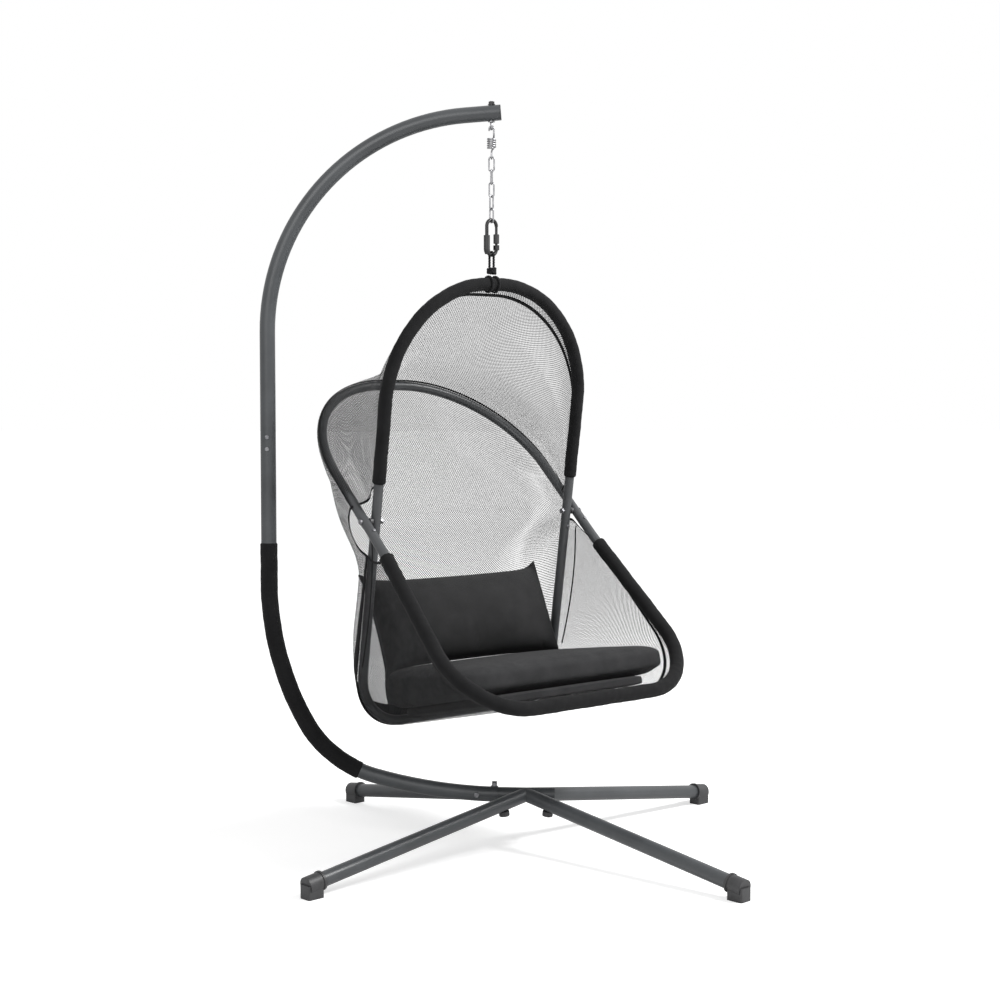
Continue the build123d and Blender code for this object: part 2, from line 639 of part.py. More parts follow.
def mesh_section(angle, root, side_low, side_high, out, corner):
    """One cross-section of a panel: a U of thin cloth in a leaning plane."""
    half = mesh_thickness / 2
    outlines = []
    for shift in (half, -half):
        rows = [(side_low + shift, root), (side_high + shift, out + shift)]
        points = [on_hoop(angle, way, far) for way, far in rows]
        points += [on_hoop(angle, -way, far) for way, far in reversed(rows)]
        outlines.append(FilletPolyline(*points, radius=corner + shift))
    outer, inner = outlines
    ends = [Line(outer @ 0, inner @ 0), Line(outer @ 1, inner @ 1)]
    return make_face(outer.edges() + inner.edges() + ends)


def fold_over(angle, out, fold_angle):
    """Where two panels meet over a tube: angle and distance of the fold."""
    x, _, z = on_hoop(angle, 0, out)
    x += fold_reach * sin(radians(fold_angle))
    z += fold_reach * cos(radians(fold_angle))
    return degrees(atan2(x, z)), hypot(x, z)


rest = tube_diameter / 2 + clear + mesh_thickness / 2
side_rest = rest + 2.0
arch_edge = (arch_lean, arch_height)
canopy_edge = fold_over(canopy_lean, canopy_height, -70.1)
rear_edge = fold_over(arch_lean - 180, arch_depth, -151.9)
front_edge = (canopy_lean - 180, front_depth)


def blend(first, second, share):
    return first + (second - first) * share


def panel(first, second, shares, rule):
    """Loft one panel through its sections; rule gives each section's shape."""
    sections = []
    for share in shares:
        angle, out = chord(first, second, share)
        straight = blend(first[1], second[1], share)
        sections.append(mesh_section(angle, *rule(share, out, straight)))
    return loft(sections, ruled=True)


def canopy_rule(share, out, straight):
    root = blend(arch_cover_start, canopy_root, share) - 12.0 * sin(pi * share)
    wide = blend(arch_half_width, canopy_half_width + side_rest, sin(pi * share / 2))
    corner = blend(arch_corner, canopy_corner + rest, share) * out / straight
    return root, wide, wide, out, corner


def back_rule(share, out, straight):
    root = blend(canopy_root, rear_root, share)
    pull = sin(pi * share ** back_skew) ** 2
    squeeze = sin(pi * share ** waist_skew) ** 2
    wide = blend(canopy_half_width + side_rest, arch_half_width + side_rest, share) - waist_draw * squeeze
    drawn = out * (1 - back_draw * pull)
    corner = blend(canopy_corner + rest, arch_low_corner + rest, share) * drawn / straight
    corner = min(corner * (1 + back_round * pull), drawn - root - 6.0)
    return root, wide, wide, drawn, corner


def seat_rule(share, out, straight):
    root = blend(rear_root, front_cover_start + 2.0, share)
    low = blend(arch_half_width + side_rest, cover_side, share)
    high = blend(arch_half_width + side_rest, front_half_width, share)
    corner = blend(arch_low_corner + rest, front_low_corner, share) * out / straight
    return root, low, high, out, corner


arch_space = pipe(arch_path, cover_diameter + 2 * clear)
front_space = pipe(front_path, cover_diameter + 2 * clear)
canopy = panel(arch_edge, canopy_edge, [0, 0.25, 0.5, 0.75, 1], canopy_rule) - arch_space
back = panel(canopy_edge, rear_edge, [0, 0.08, 0.17, 0.27, 0.39, 0.51, 0.63, 0.74, 0.84, 0.93, 1], back_rule)
seat = panel(rear_edge, front_edge, [0, 0.25, 0.5, 0.75, 1], seat_rule) - front_space

arch_top = Pos(*on_hoop(arch_lean, 0, arch_height))
for way in (-1, 1):
    wrap_space = Rot(90, 0, 0) * Torus(wrap_radius, rope / 2 + 2 * clear)
    canopy -= arch_top * Pos(0, way * wrap_offset - sling_offset, 0) * wrap_space


def largest(shape):
    """The main solid, without loose slivers where a cover cuts the cloth."""
    return shape.solids().sort_by(SortBy.VOLUME)[-1]


keep("canopy_mesh", chair_place * largest(canopy))
keep("back_mesh", chair_place * largest(back))
keep("seat_mesh", chair_place * largest(seat))

# The cushions lie in the seat: +X along the mesh toward the front, +Z off it
rear_point = Vector(*on_hoop(rear_edge[0], 0, rear_edge[1]))
front_point = Vector(*on_hoop(front_edge[0], 0, front_edge[1]))
seat_run = front_point - rear_point
seat_slope = degrees(atan(seat_run.Z / seat_run.X))
seat_place = chair_place * Pos(rear_point.X, 0, rear_point.Z) * Rot(0, -seat_slope, 0)


def pad_section(x, low, high, low_half, mid_half, top_half, crown):
    """A cushion's cross-section: flat below, round sides and a crowned top."""
    middle = (low + high) / 2
    edges = [
        Line((x, -low_half, low), (x, low_half, low)),
        ThreePointArc((x, low_half, low), (x, mid_half, middle), (x, top_half, high)),
        ThreePointArc((x, top_half, high), (x, 0, high + crown), (x, -top_half, high)),
        ThreePointArc((x, -top_half, high), (x, -mid_half, middle), (x, -low_half, low)),
    ]
    return make_face(edges)


def pad_loft(start, stop, low, thick, rows, crown):
    """A cushion through its rows: share of length, half-width and share of thickness."""
    sections = []
    for share, half, fullness in rows:
        x = blend(start, stop, share)
        middle = low + thick / 2
        reach = thick * fullness / 2
        inset = 0.30 * thick * fullness
        bulge = 0.06 * thick * fullness
        sections.append(pad_section(x, middle - reach, middle + reach, half - inset, half + bulge,
                                    half - inset, crown * fullness))
    return loft(sections, ruled=True)


end_rows = [(0.0, -9.0, 0.52), (0.008, -4.5, 0.72), (0.022, -1.5, 0.87), (0.045, -0.3, 0.96), (0.09, 0.0, 1.0)]


def pad_rows(rear_half, front_half, waist):
    """Half-width and fullness along a cushion: round ends, sides drawn in a little."""
    shares = [(share, inset, full) for share, inset, full in end_rows]
    shares += [(0.3, 0.0, 1.0), (0.5, 0.0, 1.0), (0.7, 0.0, 1.0)]
    shares += [(1 - share, inset, full) for share, inset, full in reversed(end_rows)]
    rows = []
    for share, inset, full in shares:
        half = blend(rear_half, front_half, share) + inset - waist * sin(pi * share)
        rows.append((share, half, full))
    return rows


pad_front = cushion_half_width - pad_margin
pad_rear = pad_front - 28.0
pad = pad_loft(cushion_rear + 22.0, cushion_front - 9.0, pad_lift, pad_thickness,
               pad_rows(pad_rear, pad_front, 2.0), 0.5)
keep("seat_pad", seat_place * pad)

cushion_low = pad_lift + pad_thickness + 0.5 + clear
cushion_rear_half = cushion_half_width - cushion_taper
cushion = pad_loft(cushion_rear, cushion_front, cushion_low, cushion_thickness,
                   pad_rows(cushion_rear_half, cushion_half_width, 8.0), cushion_crown)
keep("seat_cushion", seat_place * cushion)

# The pillow leans on the back mesh: +X off the mesh, +Y left, +Z up its height
pillow_lean = 24.0
pillow_place = chair_place * Pos(-pillow_back, 0, -pillow_drop) * Rot(0, -pillow_lean, 0)


def pillow_section(share):
    """A lens of cloth across the pillow at a share of its half-width."""
    away = abs(share)
    y = share * pillow_half_width
    half = pillow_height / 2 * (0.94 + 0.06 * away ** 2)
    thick = pillow_thickness / 2 * max(0.05, (1 - away ** 2.6) ** 0.6)
    edges = [
        ThreePointArc((0, y, -half), (thick, y, 0), (0, y, half)),
        ThreePointArc((0, y, half), (-thick, y, 0), (0, y, -half)),
    ]
    return make_face(edges)


pillow_shares = [-1.0, -0.94, -0.8, -0.5, 0.0, 0.5, 0.8, 0.94, 1.0]
pillow = loft([pillow_section(share) for share in pillow_shares])
keep("back_pillow", pillow_place * pillow)

# Everything is moved along X so that the origin lies midway between the outer edges
boxes = [shape.bounding_box() for _, shape in made]
centre_shift = -(min(box.min.X for box in boxes) + max(box.max.X for box in boxes)) / 2
print("hub axis at x", round(centre_shift, 2), "hang axis at x", round(hang_x + centre_shift, 2))
print("heights of tube, eye, coil, chain, carabiner and arch", round(under_tube, 2), round(eye_height, 2),
      round(coil_top, 2), round(chain_top, 2), round(carabiner_bottom, 2), round(arch_top_height, 2))
for name, shape in made:
    export_step(Pos(centre_shift, 0, 0) * shape, f"parts/{name}.step")
    print(name, len(shape.solids()))
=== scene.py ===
# %% [markdown]
# # A hanging patio chair on a curved stand
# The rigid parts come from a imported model: tubes, bolts, chain and feet keep that shape and only
# get better finishes here. Everything sewn or stuffed is made in this file, because cloth and
# foam need soft forms that solids don't give. All lengths are metres, Z is up.

# %% Load the frame
import bmesh
import bpy
import json
import numpy as np
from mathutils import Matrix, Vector


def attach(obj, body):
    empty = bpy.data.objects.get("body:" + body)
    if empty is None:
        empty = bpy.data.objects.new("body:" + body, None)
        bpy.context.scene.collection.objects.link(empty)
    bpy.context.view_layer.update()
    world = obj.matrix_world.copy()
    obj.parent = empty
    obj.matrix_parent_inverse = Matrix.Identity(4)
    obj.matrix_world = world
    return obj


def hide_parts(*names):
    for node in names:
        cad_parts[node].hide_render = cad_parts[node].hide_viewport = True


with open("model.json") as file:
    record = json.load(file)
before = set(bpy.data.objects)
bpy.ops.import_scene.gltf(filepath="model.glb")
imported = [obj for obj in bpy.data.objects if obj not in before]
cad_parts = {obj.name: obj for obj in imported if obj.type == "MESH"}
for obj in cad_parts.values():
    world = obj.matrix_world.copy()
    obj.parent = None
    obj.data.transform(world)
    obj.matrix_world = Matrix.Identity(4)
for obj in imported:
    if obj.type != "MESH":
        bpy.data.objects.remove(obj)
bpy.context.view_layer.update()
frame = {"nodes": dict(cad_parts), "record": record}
record = frame["record"]
joints = {joint["name"]: joint for joint in record["behaviour"]["joints"]}
hang_x = joints["swing_along"]["pos_m"][0]
hub_x = record["mounts"][0]["pos_m"][0] - 0.5
print("hang axis at x", round(hang_x, 4), "hub axis at x", round(hub_x, 4))

# %% [markdown]
# ## Where the chair hangs
# The chair is two flat hoops that cross at its sides. It is easiest to shape its cover in the
# chair's own directions, forward, left and up from the middle of the crossings, and to turn the
# points into the stand's directions at the end. The chair hangs turned 48 degrees from the mast,
# and its rope sits a finger's width to one side of the arch's middle.

# %% Chair directions
chair_yaw = np.radians(-48.28)
arch_lean, canopy_lean = 8.16, -46.86
arch_height, arch_top_height = 0.610, 1.46635
arch_half, arch_foot, arch_corner = 0.327, 0.095, 0.308
canopy_half, canopy_height, canopy_corner = 0.361, 0.501, 0.330
rear_depth, rear_corner = 0.537, 0.140
front_half_top, front_half, front_foot, front_depth, front_corner = 0.3624, 0.398, 0.120, 0.6275, 0.184
sling_offset = 0.017
lean_reach = arch_height * np.sin(np.radians(arch_lean))
chair_origin = np.array([hang_x - lean_reach * np.cos(chair_yaw) - sling_offset * np.sin(chair_yaw),
                         -lean_reach * np.sin(chair_yaw) + sling_offset * np.cos(chair_yaw),
                         arch_top_height - arch_height * np.cos(np.radians(arch_lean))])


def to_row(local):
    """Chair coordinates to the stand's: turned about Z by the yaw, then moved to the crossings."""
    x, y, z = np.moveaxis(np.asarray(local, float), -1, 0)
    turned = [x * np.cos(chair_yaw) - y * np.sin(chair_yaw),
              x * np.sin(chair_yaw) + y * np.cos(chair_yaw), z]
    return np.stack(turned, axis=-1) + chair_origin


def on_hoop(angle, side, out):
    """A plane that leans by an angle: side stays on y, out goes to x and z by sine and cosine."""
    angle = np.radians(angle)
    return np.stack(np.broadcast_arrays(out * np.sin(angle), side, out * np.cos(angle)), axis=-1)


print("crossings at", chair_origin.round(4))

# %% [markdown]
# ## From a grid of points to a mesh
# A surface here is always a grid: rows one way, columns the other. Each group of four neighbours
# is a face, so the face list can be cut out of one table of numbers without any loop. A grid that
# closes on itself joins its last row or column to its first.

# %% Grid to mesh


def grid_quads(rows, columns, close_rows=False, close_columns=False):
    """Faces join point (r, c) to (r+1, c), (r+1, c+1) and (r, c+1)."""
    index = np.arange(rows * columns).reshape(rows, columns)
    if close_rows:
        index = np.vstack([index, index[:1]])
    if close_columns:
        index = np.hstack([index, index[:, :1]])
    quads = np.stack([index[:-1, :-1], index[1:, :-1], index[1:, 1:], index[:-1, 1:]], axis=-1)
    return quads.reshape(-1, 4)


def make_piece(name, points, quads, finish, chart=None):
    """One smooth mesh; the chart holds a UV in metres for each point."""
    mesh = bpy.data.meshes.new(name)
    mesh.from_pydata(points, [], quads)
    if chart is not None:
        layer = mesh.uv_layers.new(name="weave")
        layer.data.foreach_set("uv", chart[quads.ravel()].ravel().astype(np.float32))
    mesh.polygons.foreach_set("use_smooth", np.ones(len(mesh.polygons), bool))
    mesh.materials.append(finish)
    piece = bpy.data.objects.new(name, mesh)
    bpy.context.scene.collection.objects.link(piece)
    return piece


def make_surface(name, grid, finish, close_rows=False, close_columns=False, weave=None):
    """A grid as one piece; weave is a grid of UVs."""
    quads = grid_quads(*grid.shape[:2], close_rows, close_columns)
    chart = None if weave is None else weave.reshape(-1, 2)
    return make_piece(name, grid.reshape(-1, 3), quads, finish, chart)


def settle(piece, body, slot_name, *nodes):
    """The piece rides on a body and stands for the nodes it covers; slot_name is not used."""
    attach(piece, body)
    if nodes:
        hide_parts(*nodes)
    print(piece.name, len(piece.data.polygons), "faces")
    return piece


# %% [markdown]
# ## Finishes
# Each finish is one small node tree. A powder coat is a dark, slightly mottled paint with an
# orange-peel bump; zinc is metal with cloudy patches; cloth gets a fine weave as bump and a
# little sheen. Patterns read Object coordinates, so they stay put on every piece.

# %% Helpers for finishes


def start_finish(name, roughness, metallic=0.0):
    """A Principled shader with its plain values set on its own sockets."""
    finish = bpy.data.materials.new(name)
    finish.use_nodes = True
    tree = finish.node_tree
    shader = tree.nodes["Principled BSDF"]
    shader.inputs["Roughness"].default_value = roughness
    shader.inputs["Metallic"].default_value = metallic
    return finish, tree, shader


def add_node(tree, kind, **settings):
    """A node of a kind with some of its inputs set by name."""
    node = tree.nodes.new(kind)
    for key, value in settings.items():
        node.inputs[key.replace("_", " ")].default_value = value
    return node


def add_math(tree, operation, *values):
    """The result of a math node whose inputs are sockets to link or plain numbers."""
    node = tree.nodes.new("ShaderNodeMath")
    node.operation = operation
    for socket, value in zip(node.inputs, values):
        if isinstance(value, float):
            socket.default_value = value
        else:
            tree.links.new(value, socket)
    return node.outputs["Value"]


def mottle(tree, shader, dark, light, scale, low=0.35, high=0.65):
    """Colour drifts between two shades with a soft noise in object space."""
    place = tree.nodes.new("ShaderNodeTexCoord")
    noise = add_node(tree, "ShaderNodeTexNoise", Scale=scale, Detail=5.0, Roughness=0.55)
    ramp = tree.nodes.new("ShaderNodeValToRGB")
    ramp.color_ramp.elements[0].position = low
    ramp.color_ramp.elements[1].position = high
    ramp.color_ramp.elements[0].color = (*dark, 1)
    ramp.color_ramp.elements[1].color = (*light, 1)
    tree.links.new(place.outputs["Object"], noise.inputs["Vector"])
    tree.links.new(noise.outputs["Fac"], ramp.inputs["Fac"])
    tree.links.new(ramp.outputs["Color"], shader.inputs["Base Color"])
    return place, noise


def rough_range(tree, shader, source, low, high):
    """Roughness follows a noise between two values, so gloss breaks up."""
    span = add_node(tree, "ShaderNodeMapRange", To_Min=low, To_Max=high)
    tree.links.new(source, span.inputs["Value"])
    tree.links.new(span.outputs["Result"], shader.inputs["Roughness"])


def bump_from(tree, shader, height, strength, distance):
    """Tilts the surface by a height pattern, in metres of depth."""
    bump = add_node(tree, "ShaderNodeBump", Strength=strength, Distance=distance)
    tree.links.new(height, bump.inputs["Height"])
    tree.links.new(bump.outputs["Normal"], shader.inputs["Normal"])


# %% Paint, plastic and metal


def powder_coat(name, dark, light):
    """Satin paint over steel: faint mottling, and an orange peel about a millimetre across."""
    finish, tree, shader = start_finish(name, 0.38)
    place, noise = mottle(tree, shader, dark, light, 9.0)
    rough_range(tree, shader, noise.outputs["Fac"], 0.30, 0.46)
    peel = add_node(tree, "ShaderNodeTexNoise", Scale=900.0, Detail=2.0)
    tree.links.new(place.outputs["Object"], peel.inputs["Vector"])
    bump_from(tree, shader, peel.outputs["Fac"], 0.12, 0.0004)
    shader.inputs["Specular IOR Level"].default_value = 0.42
    return finish


def moulded_plastic(name, dark, light):
    """Matte plastic with a spark-eroded grain."""
    finish, tree, shader = start_finish(name, 0.5)
    place, noise = mottle(tree, shader, dark, light, 30.0)
    rough_range(tree, shader, noise.outputs["Fac"], 0.42, 0.6)
    grain = add_node(tree, "ShaderNodeTexVoronoi", Scale=1400.0)
    tree.links.new(place.outputs["Object"], grain.inputs["Vector"])
    bump_from(tree, shader, grain.outputs["Distance"], 0.25, 0.0003)
    return finish


def zinc(name, dark, light, low, high):
    """Plated steel: cloudy grey metal with fine drawing marks."""
    finish, tree, shader = start_finish(name, 0.4, 1.0)
    place, noise = mottle(tree, shader, dark, light, 120.0)
    rough_range(tree, shader, noise.outputs["Fac"], low, high)
    marks = add_node(tree, "ShaderNodeTexNoise", Scale=1500.0, Detail=3.0)
    tree.links.new(place.outputs["Object"], marks.inputs["Vector"])
    bump_from(tree, shader, marks.outputs["Fac"], 0.2, 0.0002)
    return finish


stand_paint = powder_coat("stand_powder_coat", (0.044, 0.047, 0.050), (0.058, 0.062, 0.066))
hoop_paint = powder_coat("hoop_powder_coat", (0.036, 0.038, 0.040), (0.050, 0.052, 0.055))
black_paint = powder_coat("black_steel", (0.006, 0.006, 0.0064), (0.011, 0.011, 0.0115))
black_plastic = moulded_plastic("black_moulding", (0.022, 0.022, 0.023), (0.034, 0.034, 0.036))
grip_rubber = moulded_plastic("grip_rubber", (0.009, 0.009, 0.0095), (0.015, 0.015, 0.0155))
chain_zinc = zinc("galvanised_steel", (0.20, 0.20, 0.21), (0.36, 0.36, 0.37), 0.26, 0.46)
bolt_zinc = zinc("dull_plated_steel", (0.14, 0.14, 0.15), (0.24, 0.24, 0.25), 0.35, 0.55)
print("hard finishes:", 7)

# %% Cloth finishes


def woven_cloth(name, dark, light, thread, depth):
    """Plain weave: a checker says which of two crossed sets of round threads lies on top."""
    finish, tree, shader = start_finish(name, 0.85)
    _, noise = mottle(tree, shader, dark, light, 22.0, 0.3, 0.7)
    rough_range(tree, shader, noise.outputs["Fac"], 0.78, 0.95)
    chart = tree.nodes.new("ShaderNodeUVMap")
    chart.uv_map = "weave"
    threads = []
    for direction in ("X", "Y"):
        wave = tree.nodes.new("ShaderNodeTexWave")
        wave.bands_direction = direction
        wave.inputs["Scale"].default_value = np.pi / (10 * thread)
        wave.inputs["Distortion"].default_value = 0.4
        tree.links.new(chart.outputs["UV"], wave.inputs["Vector"])
        threads.append(wave.outputs["Fac"])
    turns = add_node(tree, "ShaderNodeTexChecker", Scale=1 / thread)
    tree.links.new(chart.outputs["UV"], turns.inputs["Vector"])
    top = tree.nodes.new("ShaderNodeMix")
    tree.links.new(turns.outputs["Fac"], top.inputs["Factor"])
    tree.links.new(threads[0], top.inputs["A"])
    tree.links.new(threads[1], top.inputs["B"])
    bump_from(tree, shader, top.outputs["Result"], 0.5, depth)
    shader.inputs["Sheen Weight"].default_value = 0.04
    shader.inputs["Sheen Roughness"].default_value = 0.4
    shader.inputs["Specular IOR Level"].default_value = 0.12
    return finish


def open_mesh(name, pitch, gap):
    """Square holes set as diamonds; a thread is where one of the folded coordinates is small."""
    finish, tree, shader = start_finish(name, 0.75)
    mottle(tree, shader, (0.014, 0.014, 0.015), (0.026, 0.026, 0.027), 40.0)
    chart = tree.nodes.new("ShaderNodeUVMap")
    chart.uv_map = "weave"
    turn = tree.nodes.new("ShaderNodeMapping")
    turn.inputs["Rotation"].default_value = (0, 0, np.pi / 4)
    turn.inputs["Scale"].default_value = (1 / pitch, 1 / pitch, 1)
    split = tree.nodes.new("ShaderNodeSeparateXYZ")
    tree.links.new(chart.outputs["UV"], turn.inputs["Vector"])
    tree.links.new(turn.outputs["Vector"], split.inputs["Vector"])
    folded = [add_math(tree, "PINGPONG", split.outputs[axis], 0.5) for axis in ("X", "Y")]
    nearest = add_math(tree, "MINIMUM", *folded)
    thread = add_math(tree, "LESS_THAN", nearest, (1 - gap) / 2)
    tree.links.new(thread, shader.inputs["Alpha"])
    shader.inputs["Specular IOR Level"].default_value = 0.15
    return finish


sleeve_cloth = woven_cloth("black_sleeve_cloth", (0.006, 0.006, 0.0064), (0.010, 0.010, 0.0105),
                           0.0011, 0.0003)
tape_cloth = woven_cloth("black_tape", (0.007, 0.007, 0.0075), (0.012, 0.012, 0.0125), 0.0010, 0.0002)
cushion_cloth = woven_cloth("seat_cloth", (0.020, 0.020, 0.021), (0.030, 0.030, 0.031), 0.0012, 0.0003)
pillow_cloth = woven_cloth("pillow_cloth", (0.015, 0.015, 0.0155), (0.022, 0.022, 0.0225),
                           0.0012, 0.0003)
rope_cloth = woven_cloth("braided_rope", (0.010, 0.010, 0.011), (0.022, 0.022, 0.023), 0.0008, 0.0002)
cover_mesh = open_mesh("cover_mesh", pitch=0.005, gap=0.830)
print("cloth finishes:", 6)

# %% [markdown]
# ## The rigid parts keep their shape
# Tubes, feet, bolts and chain already have their true form, so only the finish changes. One table
# says which finish each material slot of the record gets.

# %% Finish the rigid parts
finish_of_slot = {"stand_grey": stand_paint, "frame_grey": hoop_paint, "black_plastic": black_plastic,
                  "dark_steel": bolt_zinc, "galvanised_steel": chain_zinc, "grip_rubber": grip_rubber,
                  "black_steel": black_paint}
painted = 0
for entry in record["subparts"]:
    finish = finish_of_slot.get(entry["material_slot"])
    part = frame["nodes"].get(entry["node"])
    if finish is not None and part is not None:
        part.data.materials.clear()
        part.data.materials.append(finish)
        painted += 1
print("rigid parts finished:", painted)

# %% [markdown]
# ## The camera
# The picture was taken from chest height, four and a half metres away, looking a little down.
# A long lens keeps the stand's two sides nearly parallel, as in the picture.

# %% Camera
camera_data = bpy.data.cameras.new("photo_camera")
camera_data.sensor_fit = "HORIZONTAL"
camera_data.sensor_width = 36.0
camera_data.lens = 63.65
camera = bpy.data.objects.new("photo_camera", camera_data)
camera.location = (hub_x + 0.0206, -4.5858, 1.170)
camera.rotation_euler = (np.radians(90 - 3.26), 0, np.radians(1.11))
bpy.context.scene.collection.objects.link(camera)
bpy.context.scene.camera = camera
print("camera at", tuple(round(v, 3) for v in camera.location))

# %% [markdown]
# ## Hoop lines
# A hoop's centre line is straight down each side and round at each corner. It is made by walking
# straight runs and corner arcs at small steps, then spacing the points evenly along the way, so
# that cloth patterns laid on it don't stretch.

# %% Hoop centre lines


def round_corners(corners, radii, step=0.004):
    """Each inner corner becomes an arc touching both sides; it starts radius * tan(turn / 2) early."""
    corners = np.asarray(corners, float)
    runs = [corners[:1]]
    for before, corner, after, radius in zip(corners[:-2], corners[1:-1], corners[2:], radii):
        way_in = (corner - before) / np.linalg.norm(corner - before)
        way_out = (after - corner) / np.linalg.norm(after - corner)
        turn = np.arccos(np.clip(way_in @ way_out, -1, 1))
        start = corner - way_in * radius * np.tan(turn / 2)
        inward = way_out - way_in * (way_out @ way_in)
        inward = inward / np.linalg.norm(inward)
        angles = np.linspace(0, turn, max(6, int(radius * turn / step)))[:, None]
        runs.append(start + way_in * radius * np.sin(angles) + inward * radius * (1 - np.cos(angles)))
    runs.append(corners[-1:])
    return np.vstack(runs)


def even_steps(points, count):
    """Points at equal distances along a line of points."""
    lengths = np.r_[0, np.cumsum(np.linalg.norm(np.diff(points, axis=0), axis=1))]
    wanted = np.linspace(0, lengths[-1], count)
    return np.stack([np.interp(wanted, lengths, column) for column in points.T], axis=-1), lengths[-1]


def hoop_line(angle, rows, radii, count):
    """A hoop from left to right: rows give the left half, the right half mirrors it."""
    rows = np.asarray(rows, float)
    both = np.vstack([rows, rows[::-1] * [-1, 1]])
    flat, length = even_steps(round_corners(both, list(radii) + list(radii)[::-1]), count)
    return on_hoop(angle, flat[:, 0], flat[:, 1]), length


# %% [markdown]
# ## Sewn sleeves on the tubes
# Black cloth is wrapped round the arch, round the front of the seat and round the bend of the
# mast. A tube of cloth is never quite round: it bags a little between its seams, and it is drawn
# in at its ends. A circle is carried along the line, and its radius is varied by a few slow waves.

# %% Sleeve maker


def carry_circle(way, across, count):
    """A ring cos a * n + sin a * (t x n) at each point, with t along the line and n across its plane."""
    side = np.cross(way, across)
    angle = np.linspace(0, 2 * np.pi, count, endpoint=False)[None, :, None]
    return np.cos(angle) * across[:, None] + np.sin(angle) * side[:, None]


def unit(vectors):
    """Each vector of the last axis divided by its length."""
    return vectors / np.linalg.norm(vectors, axis=-1, keepdims=True)


def baggy_radius(length, count, angle, radius, tube, bag, seed):
    """A cloth sleeve's radius: slow waves along and round it, closing on the tube at both ends."""
    along = np.linspace(0, length, count)[:, None]
    waves = np.sin(along * 46 + 2 * np.sin(angle + seed) + seed)
    waves = waves + 0.7 * np.sin(along * 117 - 3 * angle + 2 * seed)
    waves = waves + 0.5 * np.sin(along * 260 + 2 * angle + 3 * seed)
    from_end = np.minimum(along, length - along)
    end_run, gather_run, gathers = 0.004, 0.012, 9
    full = np.clip(from_end / end_run, 0, 1) ** 0.5
    gather = np.exp(-from_end / gather_run) * np.sin(gathers * angle + seed) * bag * 1.2
    return tube + (radius - tube + bag * 0.45 * waves + gather) * full


def tube_chart(rows, columns, length, girth):
    """UV of a tube in metres: round it, folded so that both ends of the turn meet, and along it."""
    turn = np.linspace(0, 1, columns, endpoint=False)[None, :]
    around = np.abs(turn - 0.5) * girth + np.zeros((rows, 1))
    along = np.linspace(0, length, rows)[:, None] + np.zeros((1, columns))
    return np.stack([around, along], axis=-1)


def make_sleeve(name, points, length, normal, radius, tube, bag, seed, body, slot_name, node):
    """One sleeve piece with a UV that runs round and along it."""
    around = 28
    angle = np.linspace(0, 2 * np.pi, around, endpoint=False)[None, :]
    reach = baggy_radius(length, len(points), angle, radius, tube, bag, seed)
    way = unit(np.gradient(points, axis=0))
    across = np.broadcast_to(np.asarray(normal, float), way.shape)
    grid = points[:, None] + reach[..., None] * carry_circle(way, across, around)
    piece = make_surface(name, grid[:, ::-1], sleeve_cloth, close_columns=True,
                         weave=tube_chart(len(points), around, length, 2 * np.pi * radius))
    return settle(piece, body, slot_name, node)


def hoop_normal(angle):
    """The direction square to a leaning hoop, in the stand's directions."""
    angle = np.radians(angle)
    local = np.array([np.cos(angle), 0, -np.sin(angle)])
    return to_row(local) - to_row(np.zeros(3))


hoop_tube, mast_tube = 0.01265, 0.02020
arch_side = [(arch_half, arch_foot), (arch_half, arch_height)]
arch_line, arch_run = hoop_line(arch_lean, arch_side, [arch_corner], 420)
make_sleeve("arch_sleeve", to_row(arch_line), arch_run, hoop_normal(arch_lean), radius=0.0170,
            tube=hoop_tube, bag=0.0007, seed=0.4,
            body="chair", slot_name="black_fabric", node="arch_cover")
front_side = [(front_half_top, -front_foot), (front_half, -front_depth)]
front_line, front_run = hoop_line(canopy_lean, front_side, [front_corner], 460)
make_sleeve("front_sleeve", to_row(front_line), front_run, hoop_normal(canopy_lean), radius=0.0184,
            tube=hoop_tube, bag=0.0007, seed=1.9,
            body="chair", slot_name="black_fabric", node="front_cover")

# %% Mast sleeve
lower_bends = [(1.297, 15.7), (0.300, 46.1), (0.7665, 28.2)]
bend_start_x, bend_start_z = hub_x - 0.046, 0.1355
sleeve_start_turn, sleeve_top = 23.4, 0.796


def mast_bend(turn):
    """Where the mast has turned up by so many degrees: bends add radius times sine and cosine steps."""
    x = np.full_like(turn, bend_start_x)
    z = np.full_like(turn, bend_start_z)
    done = 0.0
    for radius, share in lower_bends:
        step = np.clip(turn - done, 0, share)
        x = x - radius * (np.sin(np.radians(done + step)) - np.sin(np.radians(done)))
        z = z + radius * (np.cos(np.radians(done)) - np.cos(np.radians(done + step)))
        done += share
    return np.stack([x, np.zeros_like(x), z], axis=-1)


bend_line = mast_bend(np.linspace(sleeve_start_turn, 90.0, 400))
rise_line = np.array([[bend_line[-1, 0], 0, sleeve_top]])
bumper_line, bumper_run = even_steps(np.vstack([bend_line, rise_line]), 420)
make_sleeve("mast_sleeve", bumper_line, bumper_run, (0, 1, 0), radius=0.0224,
            tube=mast_tube, bag=0.0006, seed=3.1,
            body="stand", slot_name="black_fabric", node="mast_bumper")

# %% [markdown]
# ## The mesh cover
# One cover of open mesh is stretched over both hoops: it makes the canopy, goes over the canopy
# hoop, down the back, under the rear seat tube and forward to the front sleeve. Seen from the
# side it is three stretches from tube to tube, the first two drawn in between them; seen from the
# front each cross-section is a U. So the two parameters are the way round the crossings and the
# way across the U. Where it folds over a tube the rows are smoothed along the way round, as cloth
# wraps a tube instead of creasing on it.

# %% Cover stretches
rest, fold_reach = 0.0136, 0.0192
side_rest = rest + 0.002
canopy_fold, rear_fold = -70.1, -151.9
canopy_root, left_root, right_root = 0.048, 0.022, 0.088


